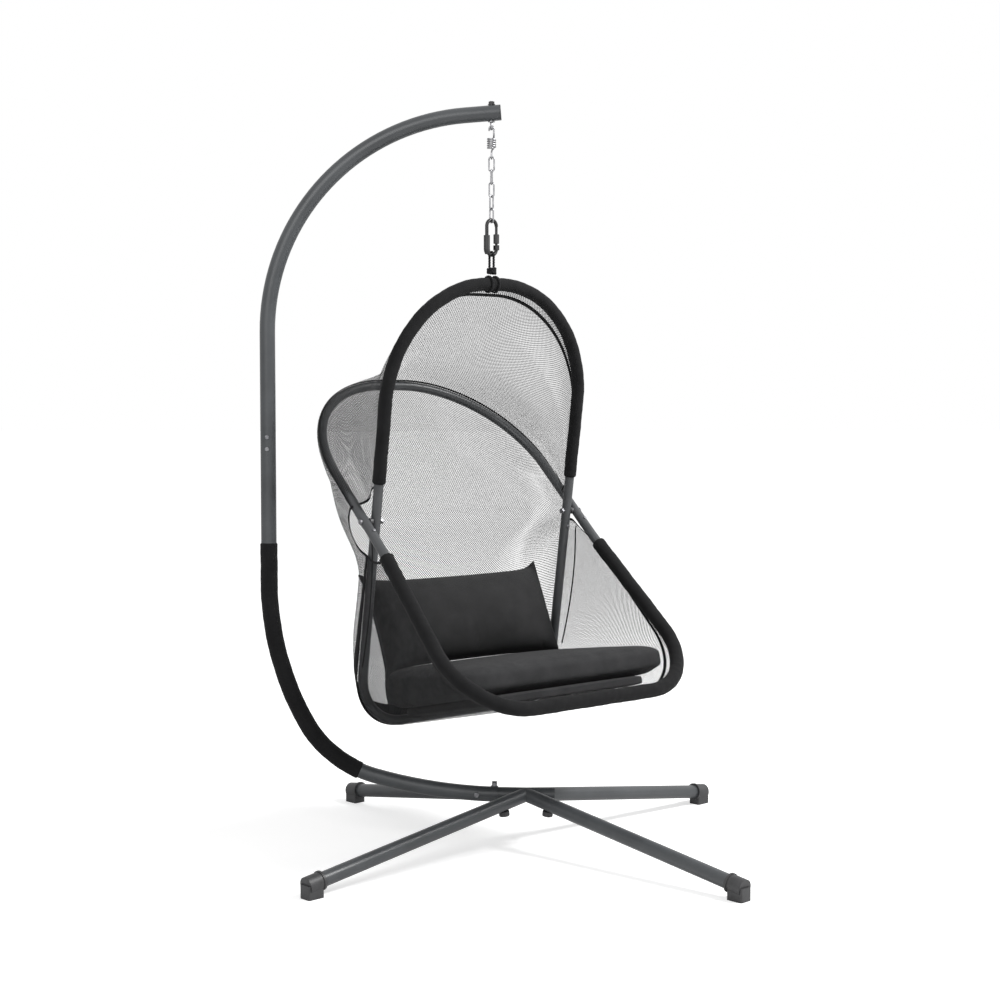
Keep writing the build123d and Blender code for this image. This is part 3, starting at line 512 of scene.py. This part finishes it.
def fold_over(angle, out, fold_angle):
    """The fold lies a little beyond the tube, in the direction between the two stretches."""
    x, _, z = on_hoop(angle, 0.0, out) + fold_reach * on_hoop(fold_angle, 0.0, 1.0)
    return np.degrees(np.arctan2(x, z)), np.hypot(x, z)


arch_edge = (arch_lean, arch_height)
canopy_edge = fold_over(canopy_lean, canopy_height, canopy_fold)
rear_edge = fold_over(arch_lean - 180, rear_depth, rear_fold)
front_edge = (canopy_lean - 180, front_depth)


def mix(first, second, share):
    """Straight blend of two values."""
    return first + (second - first) * share


def stretch_line(first, second, share):
    """A straight line between two polar points: 1/out is a sine-weighted mean of 1/out at the ends."""
    angle = mix(first[0], second[0], share)
    wide = np.radians(second[0] - first[0])
    near = np.sin(np.radians(second[0] - angle)) / first[1]
    far = np.sin(np.radians(angle - first[0])) / second[1]
    return angle, np.sin(wide) / (near + far), mix(first[1], second[1], share)


def canopy_rows(share):
    """Roots, lower and upper half-width, reach and corner of sections, drawn in by a squared sine."""
    side_draw, reach_draw, corner_gain, least_side = 0.033, 0.06, 0.55, 0.006
    angle, out, straight = stretch_line(arch_edge, canopy_edge, share)
    pull = np.sin(np.pi * share ** 1.2) ** 2
    root = mix(arch_foot, canopy_root, share) - 0.012 * np.sin(np.pi * share)
    wide = mix(arch_half, canopy_half + side_rest, np.sin(np.pi * share / 2)) - side_draw * pull
    drawn = out * (1 - reach_draw * pull)
    corner = mix(arch_corner, canopy_corner + rest, share) * drawn / straight * (1 + corner_gain * pull)
    corner = np.minimum(corner, np.minimum(drawn - root, wide) - least_side)
    return angle, (root, root), wide, wide, drawn, corner


def back_rows(share):
    """The back: drawn in at its middle and, lower down, at its sides, by skewed squared sines."""
    side_draw, reach_draw, corner_gain, least_side, least_flat = 0.095, 0.48, 0.42, 0.094, 0.004
    angle, out, straight = stretch_line(canopy_edge, rear_edge, share)
    pull = np.sin(np.pi * share ** 0.68) ** 2
    squeeze = np.sin(np.pi * share ** 2.3) ** 2
    low = mix(canopy_half + side_rest, arch_half + side_rest, share)
    high = low - side_draw * squeeze
    drawn = out * (1 - reach_draw * pull)
    corner = mix(canopy_corner + rest, rear_corner + rest, share) * drawn / straight
    corner = corner * (1 + corner_gain * pull)
    corner = np.minimum(corner, np.minimum(drawn - least_side, high - least_flat))
    roots = (mix(canopy_root, left_root, share), mix(canopy_root, right_root, share))
    return angle, roots, low, high, drawn, corner


def seat_rows(share):
    """The seat: flat below, widening to the front hoop."""
    angle, out, straight = stretch_line(rear_edge, front_edge, share)
    left_root_front, right_root_front = 0.122, 0.122
    low = mix(arch_half + side_rest, front_half_top, share)
    high = mix(arch_half + side_rest, front_half, share)
    roots = (mix(left_root, left_root_front, share ** 3), mix(right_root, right_root_front, share))
    return angle, roots, low, high, out, mix(rear_corner + rest, front_corner, share) * out / straight


print("folds at", np.round(canopy_edge, 3), np.round(rear_edge, 3))

# %% Cover sections


def half_sections(angle, root, low, high, out, corner, count):
    """Half a U by its length: a straight side, an arc of the corner radius and half the flat."""
    column = [v[:, None] for v in np.broadcast_arrays(angle, root, low, high, out, corner)]
    angle, root, low, high, out, corner = column
    rise = np.hypot(high - low, out - root)
    in_y, in_s = (high - low) / rise, (out - root) / rise
    turn = np.arccos(np.clip(-in_y, -1, 1))
    tangent = corner * np.tan(turn / 2)
    side = rise - tangent
    arc = corner * turn
    flat = np.maximum(high - tangent, 0.001)
    total = side + arc + flat
    way = np.linspace(0, 1, count)[None, :] * total
    on_side = np.clip(way, 0, side)
    bend = np.clip((way - side) / corner, 0, turn)
    on_flat = np.clip(way - side - arc, 0, None)
    ahead, aside = on_side + corner * np.sin(bend), corner * (1 - np.cos(bend))
    y = low + in_y * ahead - in_s * aside - on_flat
    s = root + in_s * ahead + in_y * aside
    return y, s, way - total


def u_sections(angle, roots, low, high, out, corner, count):
    """Two halves of a U, the right one mirrored; each side starts at its own root."""
    y, s, across = half_sections(angle, roots[0], low, high, out, corner, count)
    right_y, right_s, right_across = half_sections(angle, roots[1], low, high, out, corner, count)
    y = np.hstack([y, -right_y[:, -2::-1]])
    s = np.hstack([s, right_s[:, -2::-1]])
    across = np.hstack([across, -right_across[:, -2::-1]])
    return on_hoop(angle[:, None], y, s), across


half_count = 95
stretches = []
crosses = []
fold_rows = []
cover_plan = ((canopy_rows, 0.024, 1.0, 52), (back_rows, 0.0, 1.0, 74), (seat_rows, 0.0, 0.976, 52))
for rows_of, first, last, count in cover_plan:
    share = np.linspace(first, last, count)
    points, across = u_sections(*rows_of(share), half_count)
    start = 1 if stretches else 0
    stretches.append(points[start:])
    crosses.append(across[start:])
    fold_rows.append(sum(len(part) for part in stretches) - 1)
cover = np.vstack(stretches)
cover_across = np.vstack(crosses)


def soften_rows(grid, rows, reach, passes):
    """Near a fold each row moves half-way to the mean of its neighbours, a few times over."""
    near = np.zeros(len(grid))
    for row in rows:
        near = np.maximum(near, np.clip(1 - np.abs(np.arange(len(grid)) - row) / reach, 0, 1))
    weight = (0.5 * near)[1:-1, None, None]
    for _ in range(passes):
        middle = (grid[:-2] + grid[2:]) / 2
        grid = np.concatenate([grid[:1], grid[1:-1] * (1 - weight) + middle * weight, grid[-1:]])
    return grid


cover = soften_rows(cover, fold_rows[:2], 3, 2)
print("cover grid", cover.shape[:2], "folds at rows", fold_rows[:2])

# %% [markdown]
# The mesh is drawn, not modelled: thousands of holes would cost millions of faces. The UV is
# measured in metres along and across the cloth, so the holes keep one size everywhere, and the
# finish cuts the diamonds out with transparency. The threads are about a millimetre thick, so a
# second layer with the same chart lies behind the first: seen aslant, the holes close.

# %% Cover piece
along_cover = np.cumsum(np.linalg.norm(np.diff(cover[:, half_count - 1], axis=0), axis=1))
along_cover = np.r_[0, along_cover][:, None] + np.zeros_like(cover_across)
cover_uv = np.stack([cover_across, along_cover], axis=-1)
cover_row = to_row(cover)
cover_piece = make_surface("mesh_cover", cover_row, cover_mesh, weave=cover_uv)


# %% [markdown]
# ## Hems, tapes and seams
# The free edges by the crossings are bound with black tape. Black lines of stitching close the
# pockets in which the tubes lie, and beside the sleeves the mesh is folded back on itself, so a
# strip of it is double. A hem is a flat oval carried along the edge of the grid; a tape or a
# strip is a narrow band of the cover's own rule, a little thicker or lifted off it.

# %% Hems


def bind_edge(name, edge, inner, wide, thick):
    """An oval section along an edge: e points into the cloth, n is square to the cloth."""
    around = 12
    into = unit(inner - edge)
    normal = np.cross(unit(np.gradient(edge, axis=0)), into)
    angle = np.linspace(0, 2 * np.pi, around, endpoint=False)[None, :, None]
    centre = (edge + into * wide * 0.3)[:, None]
    oval = wide / 2 * np.cos(angle) * into[:, None] + thick / 2 * np.sin(angle) * normal[:, None]
    run = float(np.linalg.norm(np.diff(edge, axis=0), axis=1).sum())
    piece = make_surface(name, (centre + oval)[:, ::-1], tape_cloth, close_columns=True,
                         weave=tube_chart(len(edge), around, run, 2 * wide))
    return settle(piece, "chair", "black_fabric")


hem_left = bind_edge("hem_left", cover_row[:, 0], cover_row[:, 1], wide=0.007, thick=0.0024)
hem_right = bind_edge("hem_right", cover_row[:, -1], cover_row[:, -2], wide=0.007, thick=0.0024)

# %% Tapes and double strips


def grid_normal(grid):
    """Unit cross product of the two ways of the grid."""
    return unit(np.cross(np.gradient(grid, axis=0), np.gradient(grid, axis=1)))


def cover_band(name, rows_of, first, last, finish, slot_name, lift=0.0, thick=0.0):
    """The cover's rule between two shares, moved off it along the normal or given a thickness."""
    chart_shift = 0.0018
    points, across = u_sections(*rows_of(np.linspace(first, last, 4)), half_count)
    strip = to_row(points)
    normal = grid_normal(strip)
    middle = strip[:, half_count]
    along = np.linalg.norm(middle - middle[0], axis=-1)[:, None] + np.zeros_like(across)
    chart = np.stack([across + chart_shift, along], axis=-1)
    piece = make_surface(name, strip + normal * lift, finish, weave=chart)
    if thick:
        solid = piece.modifiers.new("thickness", "SOLIDIFY")
        solid.thickness = thick
        solid.offset = 0
    return settle(piece, "chair", slot_name)


seams = []
for name, rows_of, first, last, thick in (("seam_canopy", canopy_rows, 0.9515, 0.9625, 0.0022),
                                          ("seam_arch", canopy_rows, 0.064, 0.080, 0.0022),
                                          ("seam_front", seat_rows, 0.922, 0.938, 0.0022),
                                          ("seam_rear", back_rows, 0.975, 0.999, 0.0024)):
    seams.append(cover_band(name, rows_of, first, last, tape_cloth, "black_fabric", thick=thick))
for name, rows_of, first, last in (("double_arch", canopy_rows, 0.028, 0.064),
                                   ("double_front", seat_rows, 0.938, 0.972)):
    seams.append(cover_band(name, rows_of, first, last, cover_mesh, "mesh", lift=0.0016))
thread_thick = 0.0009
behind_row = cover_row - grid_normal(cover_row) * thread_thick
behind = make_surface("mesh_cover_behind", behind_row, cover_mesh, weave=cover_uv)
seams.append(settle(behind, "chair", "mesh"))

# %% Side seams


def side_seam(name, way):
    """A line down a side panel from hem to rear tube; its share falls by a root, its reach runs on."""
    step = np.linspace(0, 1, 60)
    share, reach = mix(0.50, 0.055, step ** 0.4), mix(0.045, 0.375, step)
    angle, _, low, high, out, _ = seat_rows(share)
    side = low + (high - low) * (reach - right_root) / (out - right_root)
    edge = to_row(on_hoop(angle, way * side, reach))
    ahead = to_row(on_hoop(angle - 2, way * side, reach))
    return bind_edge(name, edge, ahead, wide=0.0048, thick=0.0026)


seams += [side_seam("seam_left", 1), side_seam("seam_right", -1)]
settle(cover_piece, "chair", "mesh", "canopy_mesh", "back_mesh", "seat_mesh")

# %% [markdown]
# ## Stuffed pieces
# A seat cushion, a thin pad under it and a pillow lie in the seat. A stuffed cover is a bag that
# its filling pushes out, so the shape starts a little thin and Blender's cloth blows it up by
# pressure. How far a point may move is capped, so the piece keeps clear of what lies round it.

# %% Seat directions
rear_point = on_hoop(rear_edge[0], 0.0, rear_edge[1])
front_point = on_hoop(front_edge[0], 0.0, front_edge[1])
seat_slope = np.arctan2(front_point[2] - rear_point[2], front_point[0] - rear_point[0])


def on_seat(along, side, up):
    """Along the seat toward the front, across it and off it, as points of the stand's frame."""
    x = rear_point[0] + along * np.cos(seat_slope) - up * np.sin(seat_slope)
    z = rear_point[2] + along * np.sin(seat_slope) + up * np.cos(seat_slope)
    return to_row(np.stack(np.broadcast_arrays(x, side, z), axis=-1))


print("seat rises", round(float(np.degrees(seat_slope)), 2), "degrees")

# %% Blow up by cloth


def swell(piece, voxel, cap, frames=20, pressure=4.0):
    """Voxel remesh, cloth pressure without gravity, then each point keeps at most the capped move."""
    remesh = piece.modifiers.new("even", "REMESH")
    remesh.mode = "VOXEL"
    remesh.voxel_size = voxel
    bake_in(piece)
    before = read_points(piece)
    cloth = piece.modifiers.new("cloth", "CLOTH")
    cloth.settings.use_pressure = True
    cloth.settings.uniform_pressure_force = pressure
    cloth.settings.effector_weights.gravity = 0.0
    cloth.settings.quality = 5
    cloth.settings.mass = 0.3
    scene = bpy.context.scene
    cloth.point_cache.frame_start = 1
    cloth.point_cache.frame_end = frames
    for step in range(1, frames + 1):
        scene.frame_set(step)
    bake_in(piece)
    after = read_points(piece)
    move = after - before
    size = np.linalg.norm(move, axis=1, keepdims=True)
    write_points(piece, before + move * np.minimum(1, cap / np.maximum(size, 1e-9)))
    scene.frame_set(1)
    print(piece.name, "swelled by up to", round(float(min(size.max(), cap)) * 1000, 1), "mm")
    piece.data.polygons.foreach_set("use_smooth", np.ones(len(piece.data.polygons), bool))


def bake_in(piece):
    """Replaces the mesh by what its modifiers make and drops them."""
    graph = bpy.context.evaluated_depsgraph_get()
    made = bpy.data.meshes.new_from_object(piece.evaluated_get(graph))
    finish = piece.data.materials[0]
    piece.modifiers.clear()
    piece.data = made
    made.materials.clear()
    made.materials.append(finish)


def read_points(piece):
    """All vertex positions as one array."""
    flat = np.empty(len(piece.data.vertices) * 3)
    piece.data.vertices.foreach_get("co", flat)
    return flat.reshape(-1, 3)


def write_points(piece, points):
    """Puts the array back."""
    piece.data.vertices.foreach_set("co", points.ravel())
    piece.data.update()


def close_poles(piece):
    """Merges the points that meet at the two poles of a wrapped grid and turns the faces outwards."""
    work = bmesh.new()
    work.from_mesh(piece.data)
    bmesh.ops.remove_doubles(work, verts=work.verts, dist=1e-5)
    bmesh.ops.recalc_face_normals(work, faces=work.faces)
    work.to_mesh(piece.data)
    work.free()


def box_chart(piece, ways):
    """UV in metres by the face's own side: the two of three directions it looks along least."""
    mesh = piece.data
    normals = np.empty(len(mesh.polygons) * 3)
    mesh.polygons.foreach_get("normal", normals)
    totals = np.empty(len(mesh.polygons), np.int32)
    mesh.polygons.foreach_get("loop_total", totals)
    corners = np.empty(len(mesh.loops), np.int32)
    mesh.loops.foreach_get("vertex_index", corners)
    ways = np.asarray(ways)
    facing = np.abs(normals.reshape(-1, 3) @ ways.T).argmax(axis=1)
    pairs = np.array([[1, 2], [0, 2], [0, 1]])[np.repeat(facing, totals)]
    placed = (read_points(piece) @ ways.T)[corners]
    chart = np.take_along_axis(placed, pairs, axis=1)
    layer = mesh.uv_layers.new(name="weave")
    layer.data.foreach_set("uv", chart.ravel().astype(np.float32))


# %% Seat cushion and pad


def boxed(first, second, power):
    """Two parts of a direction over their norm of a high power: a circle becomes a rounded square."""
    size = (np.abs(first) ** power + np.abs(second) ** power) ** (1 / power)
    return first / size, second / size


def rounded_slab(along, sides, heights, crown, waist, rear_rise=0.0, slide=0.0):
    """A rounded box over two angles, boxed in height and plan, tapered, drawn in, crowned and raised."""
    tilt = np.linspace(-np.pi / 2, np.pi / 2, 81)[:, None]
    turn = np.linspace(-np.pi, np.pi, 176, endpoint=False)[None, :]
    reach, w = boxed(np.cos(tilt), np.sin(tilt), 7.0)
    u, v = boxed(np.cos(turn), np.sin(turn), 9.0)
    u, v, w = reach * u, reach * v, w + 0 * turn
    share = (u + 1) / 2
    half = mix(sides[0], sides[1], share) - waist * np.cos(u * np.pi / 2)
    middle, thick = np.mean(heights), np.ptp(heights) / 2
    top = np.clip(w, 0, 1) * (crown * (1 - u ** 2) * (1 - v ** 2) + rear_rise * (1 - share))
    return on_seat(mix(along[0], along[1], share), slide + v * half, middle + w * thick + top)


cushion_shape = rounded_slab(along=(0.067, 0.489), sides=(0.314, 0.364), heights=(0.0490, 0.1070),
                             crown=0.006, waist=0.006, rear_rise=0.036, slide=0.006)
cushion = make_surface("seat_cushion_cover", cushion_shape, cushion_cloth, close_columns=True)
close_poles(cushion)
swell(cushion, voxel=0.006, cap=0.008)
pad_shape = rounded_slab(along=(0.089, 0.479), sides=(0.253, 0.284), heights=(0.0165, 0.0440),
                         crown=0.0004, waist=0.003)
pad = make_surface("seat_pad_cover", pad_shape, cushion_cloth, close_columns=True)
close_poles(pad)


def finish_stuffed(piece, place_of, slot_name, node):
    """Charts the piece along its own three directions, smooths it once and hangs it on the chair in
    place of its node.
    """
    box_chart(piece, [place_of(*step) - place_of(0, 0, 0) for step in np.eye(3)])
    subdivide = piece.modifiers.new("smooth", "SUBSURF")
    subdivide.levels = subdivide.render_levels = 1
    settle(piece, "chair", slot_name, node)


finish_stuffed(cushion, on_seat, "cushion_fabric", "seat_cushion")
finish_stuffed(pad, on_seat, "cushion_fabric", "seat_pad")

# %% [markdown]
# The pillow is two sheets sewn round the edge. Its corners stay pointed while the sides between
# them are drawn in by the filling, which is what gives a scatter pillow its ears.

# %% Back pillow
pillow_tilt = np.radians(24.0)
pillow_x, pillow_z = -0.053, -0.2862
pillow_half, pillow_slide = 0.302, 0.006
pillow_rise, pillow_lift = 0.132, 0.012


def on_pillow(off, side, up):
    """Off the back, across and up the leaning pillow, as points of the stand's frame."""
    x = pillow_x + off * np.cos(pillow_tilt) - up * np.sin(pillow_tilt)
    z = pillow_z + off * np.sin(pillow_tilt) + up * np.cos(pillow_tilt)
    return to_row(np.stack(np.broadcast_arrays(x, side, z), axis=-1))


def pillow_grid():
    """Two sheets: thickness falls to the seam as (1 - u^2.6)^0.6 (1 - v^2.2)^0.55, edges drawn in."""
    u = np.linspace(-1, 1, 90)
    u = np.r_[-1, u, 1][None, :]
    v = np.linspace(-1, 1, 60)[:, None]
    dome = ((1 - np.abs(u) ** 2.6) ** 0.6) * ((1 - np.abs(v) ** 2.2) ** 0.55)
    lip = 0.003 + np.zeros_like(dome)
    lip[:, [0, -1]] = 0
    ear = np.abs(u * v) ** 9
    side = pillow_slide + pillow_half * u * (1 - 0.026 * (1 - v ** 2)) + 0.009 * np.sign(u) * ear
    up = pillow_lift + pillow_rise * v * (1 - 0.05 * (1 - u ** 2)) + 0.017 * np.sign(v) * ear
    crease = 0.003 * np.sin(7 * u + 2.0 * v) * dome
    front_thick, back_thick = 0.070, 0.064
    front = on_pillow(lip + (front_thick + crease) * dome, side, up)
    back = on_pillow(-lip - back_thick * dome, side, up)
    return np.concatenate([front, back[::-1]], axis=0)


pillow = make_surface("back_pillow_cover", pillow_grid(), pillow_cloth, close_rows=True)
close_poles(pillow)
swell(pillow, voxel=0.0045, cap=0.012)
finish_stuffed(pillow, on_pillow, "pillow_fabric", "back_pillow")

# %% [markdown]
# ## The rope sling
# A short rope holds the arch in the carabiner. A laid rope is three strands that wind round each
# other, so each strand is a small circle carried along a helix round the rope's line.

# %% Laid rope


def lay_strands(points, normal, rope_radius, pitch, closed=False):
    """Strand k runs at angle 2 pi (distance / pitch + k / 3) round the line, half a radius out."""
    way = np.gradient(points, axis=0)
    if closed:
        way = np.roll(points, -1, axis=0) - np.roll(points, 1, axis=0)
    way = unit(way)
    across = np.broadcast_to(np.asarray(normal, float), way.shape)
    side = np.cross(way, across)
    step = np.r_[0, np.cumsum(np.linalg.norm(np.diff(points, axis=0), axis=1))]
    ring = 0.48 * rope_radius * carry_circle(way, across, 10)
    grids = []
    for strand in range(3):
        lay = (2 * np.pi * (step / pitch + strand / 3))[:, None]
        centre = points + 0.5 * rope_radius * (np.cos(lay) * across + np.sin(lay) * side)
        grids.append((centre[:, None] + ring)[:, ::-1])
    return grids


def rope_piece(name, grids, closed=False):
    """Joins strands into one mesh by stacking their points and faces."""
    rows, columns = grids[0].shape[:2]
    strand_quads = grid_quads(rows, columns, closed, True)
    points = np.vstack([grid.reshape(-1, 3) for grid in grids])
    quads = np.concatenate([strand_quads + rows * columns * k for k in range(len(grids))])
    chart = np.tile(tube_chart(rows, columns, 0.2, 0.01).reshape(-1, 2), (len(grids), 1))
    return make_piece(name, points, quads, rope_cloth, chart)


forward = to_row(np.array([1.0, 0, 0])) - to_row(np.zeros(3))
left = to_row(np.array([0, 1.0, 0])) - to_row(np.zeros(3))
up = np.array([0, 0, 1.0])
hang = np.array([hang_x, 0, 0])

# %% Sling loop, wraps and knot
rope_radius, knot_rope_radius = 0.0034, 0.0032
loop_radius, bar_height, loop_foot = 0.0083, 1.5411, 1.5040
wrap_radius, wrap_offset = 0.0198, 0.011
knot_radius, knot_foot, knot_rise, knot_turns = 0.0100, 1.4930, 0.0044, 3.2
half_turn = np.linspace(0, np.pi, 40)[:, None]
over_bar = hang + bar_height * up + loop_radius * (np.cos(half_turn) * forward + np.sin(half_turn) * up)
ends = [hang + loop_foot * up + loop_radius * way * forward for way in (1, -1)]
loop_line, _ = even_steps(np.vstack([ends[:1], over_bar, ends[1:]]), 150)
sling_grids = lay_strands(loop_line, left, rope_radius, pitch=0.020)
ring_turn = np.linspace(0, 2 * np.pi, 121)[:-1, None]
arch_point = hang + arch_top_height * up
round_arch = wrap_radius * (np.cos(ring_turn) * forward + np.sin(ring_turn) * up)
wrap_pitch = 2 * np.pi * wrap_radius / 6
ring_grids = []
for way in (-1, 1):
    ring = arch_point + way * wrap_offset * left + round_arch
    ring_grids += lay_strands(ring, left, rope_radius, wrap_pitch, closed=True)
sling_loop = rope_piece("sling_loop", sling_grids)
sling_wraps = rope_piece("sling_wraps", ring_grids, closed=True)
coil = np.linspace(0, knot_turns, 260)[:, None]
knot_line = (hang + (knot_foot + knot_rise * coil) * up
             + knot_radius * (np.cos(2 * np.pi * coil) * forward + np.sin(2 * np.pi * coil) * left))
knot = rope_piece("sling_coils", lay_strands(knot_line, up, knot_rope_radius, pitch=0.018))
settle(sling_loop, "chair", "rope", "sling_rope")
settle(sling_wraps, "chair", "rope")
settle(knot, "chair", "rope", "sling_knot")

# %% [markdown]
# ## Floor and light
# The picture is on white, with a soft shadow under the stand. The floor is pale and takes the
# shadow; for the camera it also gives off a little white of its own, more further away where the
# lamps don't reach, so the floor meets the white background. A broad lamp stands to the right, a
# weaker one in front.

# %% Floor and background
floor_side, floor_near, floor_far = 30.0, -30.0, 60.0
floor_grid = np.array([[[way * floor_side, end, 0.0] for end in (floor_near, floor_far)]
                       for way in (-1, 1)])
floor_finish = bpy.data.materials.new("studio_floor")
floor_finish.use_nodes = True
tree = floor_finish.node_tree
matte = tree.nodes.new("ShaderNodeBsdfDiffuse")
matte.inputs["Color"].default_value = (0.80, 0.80, 0.80, 1)
glow = tree.nodes.new("ShaderNodeEmission")
glow.inputs["Color"].default_value = (1, 1, 1, 1)
path = tree.nodes.new("ShaderNodeLightPath")
place = tree.nodes.new("ShaderNodeTexCoord")
away = tree.nodes.new("ShaderNodeVectorMath")
away.operation = "LENGTH"
fade = add_node(tree, "ShaderNodeMapRange", From_Min=1.4, From_Max=4.0, To_Min=0.46, To_Max=0.62)
tree.links.new(place.outputs["Object"], away.inputs[0])
tree.links.new(away.outputs["Value"], fade.inputs["Value"])
seen = add_math(tree, "MAXIMUM", path.outputs["Is Camera Ray"], path.outputs["Is Transmission Ray"])
level = add_math(tree, "MULTIPLY", seen, fade.outputs["Result"])
both = tree.nodes.new("ShaderNodeAddShader")
tree.links.new(level, glow.inputs["Strength"])
tree.links.new(matte.outputs["BSDF"], both.inputs[0])
tree.links.new(glow.outputs["Emission"], both.inputs[1])
tree.links.new(both.outputs["Shader"], tree.nodes["Material Output"].inputs["Surface"])
floor = make_surface("studio_floor", floor_grid, floor_finish)

world = bpy.data.worlds.new("studio")
bpy.context.scene.world = world
world.use_nodes = True
tree = world.node_tree
sky = tree.nodes["Background"]
sky.inputs["Color"].default_value = (1, 1, 1, 1)
path = tree.nodes.new("ShaderNodeLightPath")
rays = add_math(tree, "MAXIMUM", path.outputs["Is Camera Ray"], path.outputs["Is Glossy Ray"])
rays = add_math(tree, "MAXIMUM", rays, path.outputs["Is Transmission Ray"])
span = add_node(tree, "ShaderNodeMapRange", To_Min=0.55, To_Max=1.0)
tree.links.new(rays, span.inputs["Value"])
tree.links.new(span.outputs["Result"], sky.inputs["Strength"])
print("floor and background ready")

# %% Lamps


def broad_lamp(name, place, aim, size, power):
    """A square area lamp turned toward a point."""
    data = bpy.data.lights.new(name, "AREA")
    data.size = size
    data.energy = power
    lamp = bpy.data.objects.new(name, data)
    lamp.location = place
    lamp.rotation_euler = (Vector(aim) - Vector(place)).to_track_quat("-Z", "Y").to_euler()
    bpy.context.scene.collection.objects.link(lamp)


broad_lamp("right_lamp", (3.6, -0.6, 4.2), aim=(0, 0, 0.8), size=1.3, power=330)
broad_lamp("front_lamp", (-1.5, -4.5, 3.2), aim=(0, 0, 0.9), size=3.0, power=120)
bpy.context.scene.view_settings.view_transform = "Standard"
print("lamps:", 2)
